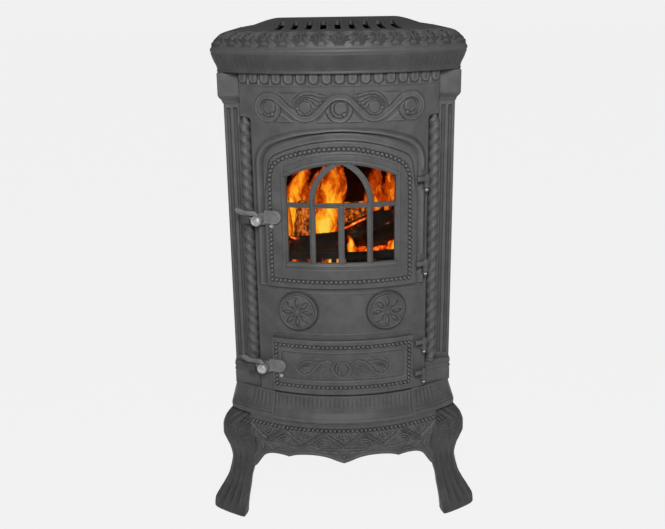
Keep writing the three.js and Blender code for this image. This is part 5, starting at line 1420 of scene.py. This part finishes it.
# ---------------------------------------------------------------- the fire
def log_piece(name, start, end, radius, seed, material):
    """A charred log: a knobbly loft with split bark and ends cut square."""
    start, end = np.array(start, float), np.array(end, float)
    axis = end - start
    length = np.linalg.norm(axis)
    axis /= length
    side = np.cross(axis, [0, 0, 1])
    side /= np.linalg.norm(side)
    up = np.cross(side, axis)
    draw = np.random.default_rng(seed)
    angle = full_turn(72)
    waves = [(draw.integers(2, 15), draw.uniform(0, 6.3), draw.uniform(0.02, 0.12)) for _ in range(9)]
    rings = []
    for s in steps(0, length, 2.4):
        r = np.ones_like(angle)
        for count, phase, size in waves:
            r += size / math.sqrt(count) * np.sin(count * angle + phase + 0.02 * s * (count % 3 - 1))
        groove = np.abs(np.sin(8.5 * angle + 0.9 * np.sin(0.07 * s + seed)))
        r += 0.07 * groove + draw.normal(0, 0.012, len(angle))
        r *= radius * (1 - 0.25 * (1 - smooth(0, 4, s)) - 0.25 * smooth(length - 4, length, s))
        rings.append(start + s * axis + np.outer(r * np.cos(angle), side) + np.outer(r * np.sin(angle), up))
    loft_piece(name, rings, "stove_body", material, (), sharp=60)


def flame(name, x, y, z, height, width, lean, heat, seed):
    """A tongue of flame: a flat twisting body that narrows to a curled tip."""
    draw = np.random.default_rng(seed)
    sway = draw.uniform(0, 6.3, 3)
    angle = full_turn(40)
    rings, level = [], []
    for u in np.linspace(0, 1, 60):
        body = math.sin(math.pi * min(1, 0.26 + 0.74 * u)) ** 0.7 * (1 - 0.2 * u)
        w = width * max(body, 0.012)
        cx = x + lean * u**1.5 + width * 0.2 * math.sin(4.6 * u + sway[0]) * u
        cy = y + 6 * math.sin(3.1 * u + sway[1]) * u
        ripple = 1 + 0.12 * np.sin(3 * angle + 9 * u + sway[2])
        cx, cy = cx + w / 2 * ripple * np.cos(angle), cy + 4 * max(body, 0.03) * np.sin(angle)
        rings.append(xyz(cx, cy, z + height * u))
        core = 1 - np.abs(np.cos(angle)) ** 1.6
        level.append(heat * (1 - 0.55 * u**1.3) * (0.25 + 0.75 * core) - 0.25 * smooth(0.75, 1, u))
    loft_piece(name, rings, "stove_body", FLAME, (), cavity=np.array(level), sharp=80)


def fire():
    logs = [((-100, -78, 505), (28, -70, 513), 20, BARK), ((4, -78, 528), (98, -64, 566), 14, BARK),
            ((40, -60, 512), (112, -46, 540), 18, BARK), ((18, -106, 488), (122, -98, 492), 14, BARK),
            ((-30, -30, 548), (66, -24, 553), 21, GLOWING), ((-70, -66, 508), (-58, -58, 584), 15, GLOWING),
            ((-122, -96, 487), (-20, -104, 486), 11, GLOWING), ((-20, 20, 505), (90, 12, 512), 26, BARK),
            ((6, -86, 541), (54, -78, 562), 1.6, EMBER), ((58, -76, 546), (100, -66, 574), 1.8, EMBER),
            ((-88, -88, 528), (-50, -84, 514), 1.3, EMBER)]
    for k, (a, b, r, material) in enumerate(logs):
        log_piece(f"burning_log_{k + 1}", a, b, r, 31 + k, material)
    bed = Field(steps(-132, 132, 3), steps(-120, 105, 3))
    lumps = np.zeros_like(bed.h)
    for _ in range(150):
        cx, cy, r = rng.uniform(-126, 126), rng.uniform(-114, 98), rng.uniform(6, 13)
        lumps = np.maximum(lumps, r * 0.8 * rounded(np.clip(np.hypot(bed.T - cx, bed.Z - cy) / r, 0, 1)))
    shallow = smooth(0, 14, 132 - np.abs(bed.T)) * smooth(0, 12, bed.Z + 120) * smooth(0, 12, 105 - bed.Z)
    bed.h = 471.5 + lumps * shallow
    sheet_piece("ember_bed", bed, xyz, 470.6, "stove_body", EMBER)
    tongues = [  # x, y, z, height, width, lean, heat
        (-96, -56, 506, 162, 48, 42, 1.05), (-98, -66, 500, 120, 24, 10, 0.95), (-72, -40, 566, 80, 34, 4, 0.72),
        (-28, -52, 512, 152, 50, 22, 1.02), (-20, -44, 520, 138, 42, 22, 0.84), (-48, -36, 560, 90, 34, 16, 0.66),
        (58, -34, 546, 116, 34, 4, 0.56), (70, -40, 548, 112, 32, -6, 0.46), (84, -38, 540, 114, 28, 2, 0.6),
        (66, -70, 540, 66, 18, -6, 0.72), (80, -70, 545, 60, 16, 8, 0.66), (92, -98, 496, 34, 24, 14, 1.25),
        (20, -104, 492, 44, 18, -8, 1.1), (38, -100, 492, 22, 30, 10, 0.9), (-26, -112, 476, 22, 60, 6, 1.3),
        (-90, -110, 476, 30, 30, 8, 0.8), (-104, -84, 520, 70, 20, 6, 0.8)]
    for k, tongue in enumerate(tongues):
        flame(f"flame_{k + 1}", *tongue, k + 1)


# ---------------------------------------------------------------- build everything
front_casting()
loading_door()
ash_door_casting()
plinth()
hearth_lip()
apron_front()
for side in (1, -1):
    apron_side(side)
knee_cast = knee_field()
for rear in (False, True):
    for side in (1, -1):
        leg(side, rear, knee_cast)
for side in (-1, 1):
    corner_post(side)
    twist_column(side)
lid()
for side in (-1, 1):
    rosette(side)
latch("door", "loading_door", "door_latch_arm")
latch("ash", "ash_door", "ash_latch_arm")
for node, width in EDGE_WIDTHS.items():
    softened(node, width)
fire()

# ---------------------------------------------------------------- stage: floor, light and camera
STAGE = Maker("studio_white", grey(225), 0.9)
path = STAGE.node("LightPath").outputs
seen = STAGE.math("MAXIMUM", path["Is Camera Ray"], path["Is Glossy Ray"])
seen = STAGE.math("MAXIMUM", seen, path["Is Transmission Ray"])
pale = STAGE.node("Emission", {"Color": grey(244), "Strength": 1.0}).outputs[0]
share = STAGE.math("MULTIPLY", seen, 0.96)
STAGE.surface(STAGE.node("MixShader", {0: share, 1: STAGE.shader.outputs[0], 2: pale}).outputs[0])
bpy.ops.mesh.primitive_plane_add(size=60, location=(0, 0, 0))
floor = bpy.context.object
floor.name = "studio_floor"
floor.data.materials.append(STAGE.mat)


def lamp(name, place, aim, size, power):
    light = bpy.data.lights.new(name, "AREA")
    light.shape, light.size, light.energy = "DISK", size, power
    made = bpy.data.objects.new(name, light)
    bpy.context.scene.collection.objects.link(made)
    made.location = place
    made.rotation_euler = (Vector(aim) - Vector(place)).to_track_quat("-Z", "Y").to_euler()


lamp("key", (-0.1, -3.2, 1.9), (0, 0, 0.55), 1.1, 40)
lamp("near", (0.02, -1.55, 1.5), (0, 0, 1.0), 0.4, 22)
lamp("fill", (2.1, -2.7, 0.8), (0, 0, 0.4), 1.5, 6)
lamp("top", (0.1, 0.5, 3.2), (0, 0, 0.6), 1.2, 3)

world = bpy.data.worlds.new("studio")
bpy.context.scene.world = world
world.use_nodes = True
nodes, links = world.node_tree.nodes, world.node_tree.links
background, shown = nodes["Background"], nodes.new("ShaderNodeBackground")  # the light it gives, the look it has
for node, color, strength in ((background, (1, 1, 1, 1), 0.17), (shown, grey(241), 1.0)):
    node.inputs["Color"].default_value, node.inputs["Strength"].default_value = color, strength
rays = nodes.new("ShaderNodeLightPath")
swap = nodes.new("ShaderNodeMixShader")
links.new(rays.outputs["Is Camera Ray"], swap.inputs[0])
links.new(background.outputs[0], swap.inputs[1])
links.new(shown.outputs[0], swap.inputs[2])
links.new(swap.outputs[0], nodes["World Output"].inputs["Surface"])

# camera at the photograph's place: 16.9 degrees down, turned 0.88 degrees
PITCH, ROLL = math.radians(16.9), math.radians(0.88)
CAMERA_X, CAMERA_Y, CAMERA_Z = -0.015, -1.548, 0.920
c, s, cp, sp = math.cos(ROLL), math.sin(ROLL), math.cos(PITCH), math.sin(PITCH)
camera = bpy.data.objects.new("camera", bpy.data.cameras.new("camera"))
bpy.context.scene.collection.objects.link(camera)
camera.matrix_world = Matrix((
    (c, s, 0, CAMERA_X), (-sp * s, sp * c, -cp, CAMERA_Y), (-cp * s, cp * c, sp, CAMERA_Z), (0, 0, 0, 1)))
camera.data.sensor_width, camera.data.lens = 36.0, 46.93
camera.data.clip_start, camera.data.clip_end = 0.05, 60
bpy.context.scene.camera = camera
bpy.context.scene.view_settings.view_transform = "Standard"
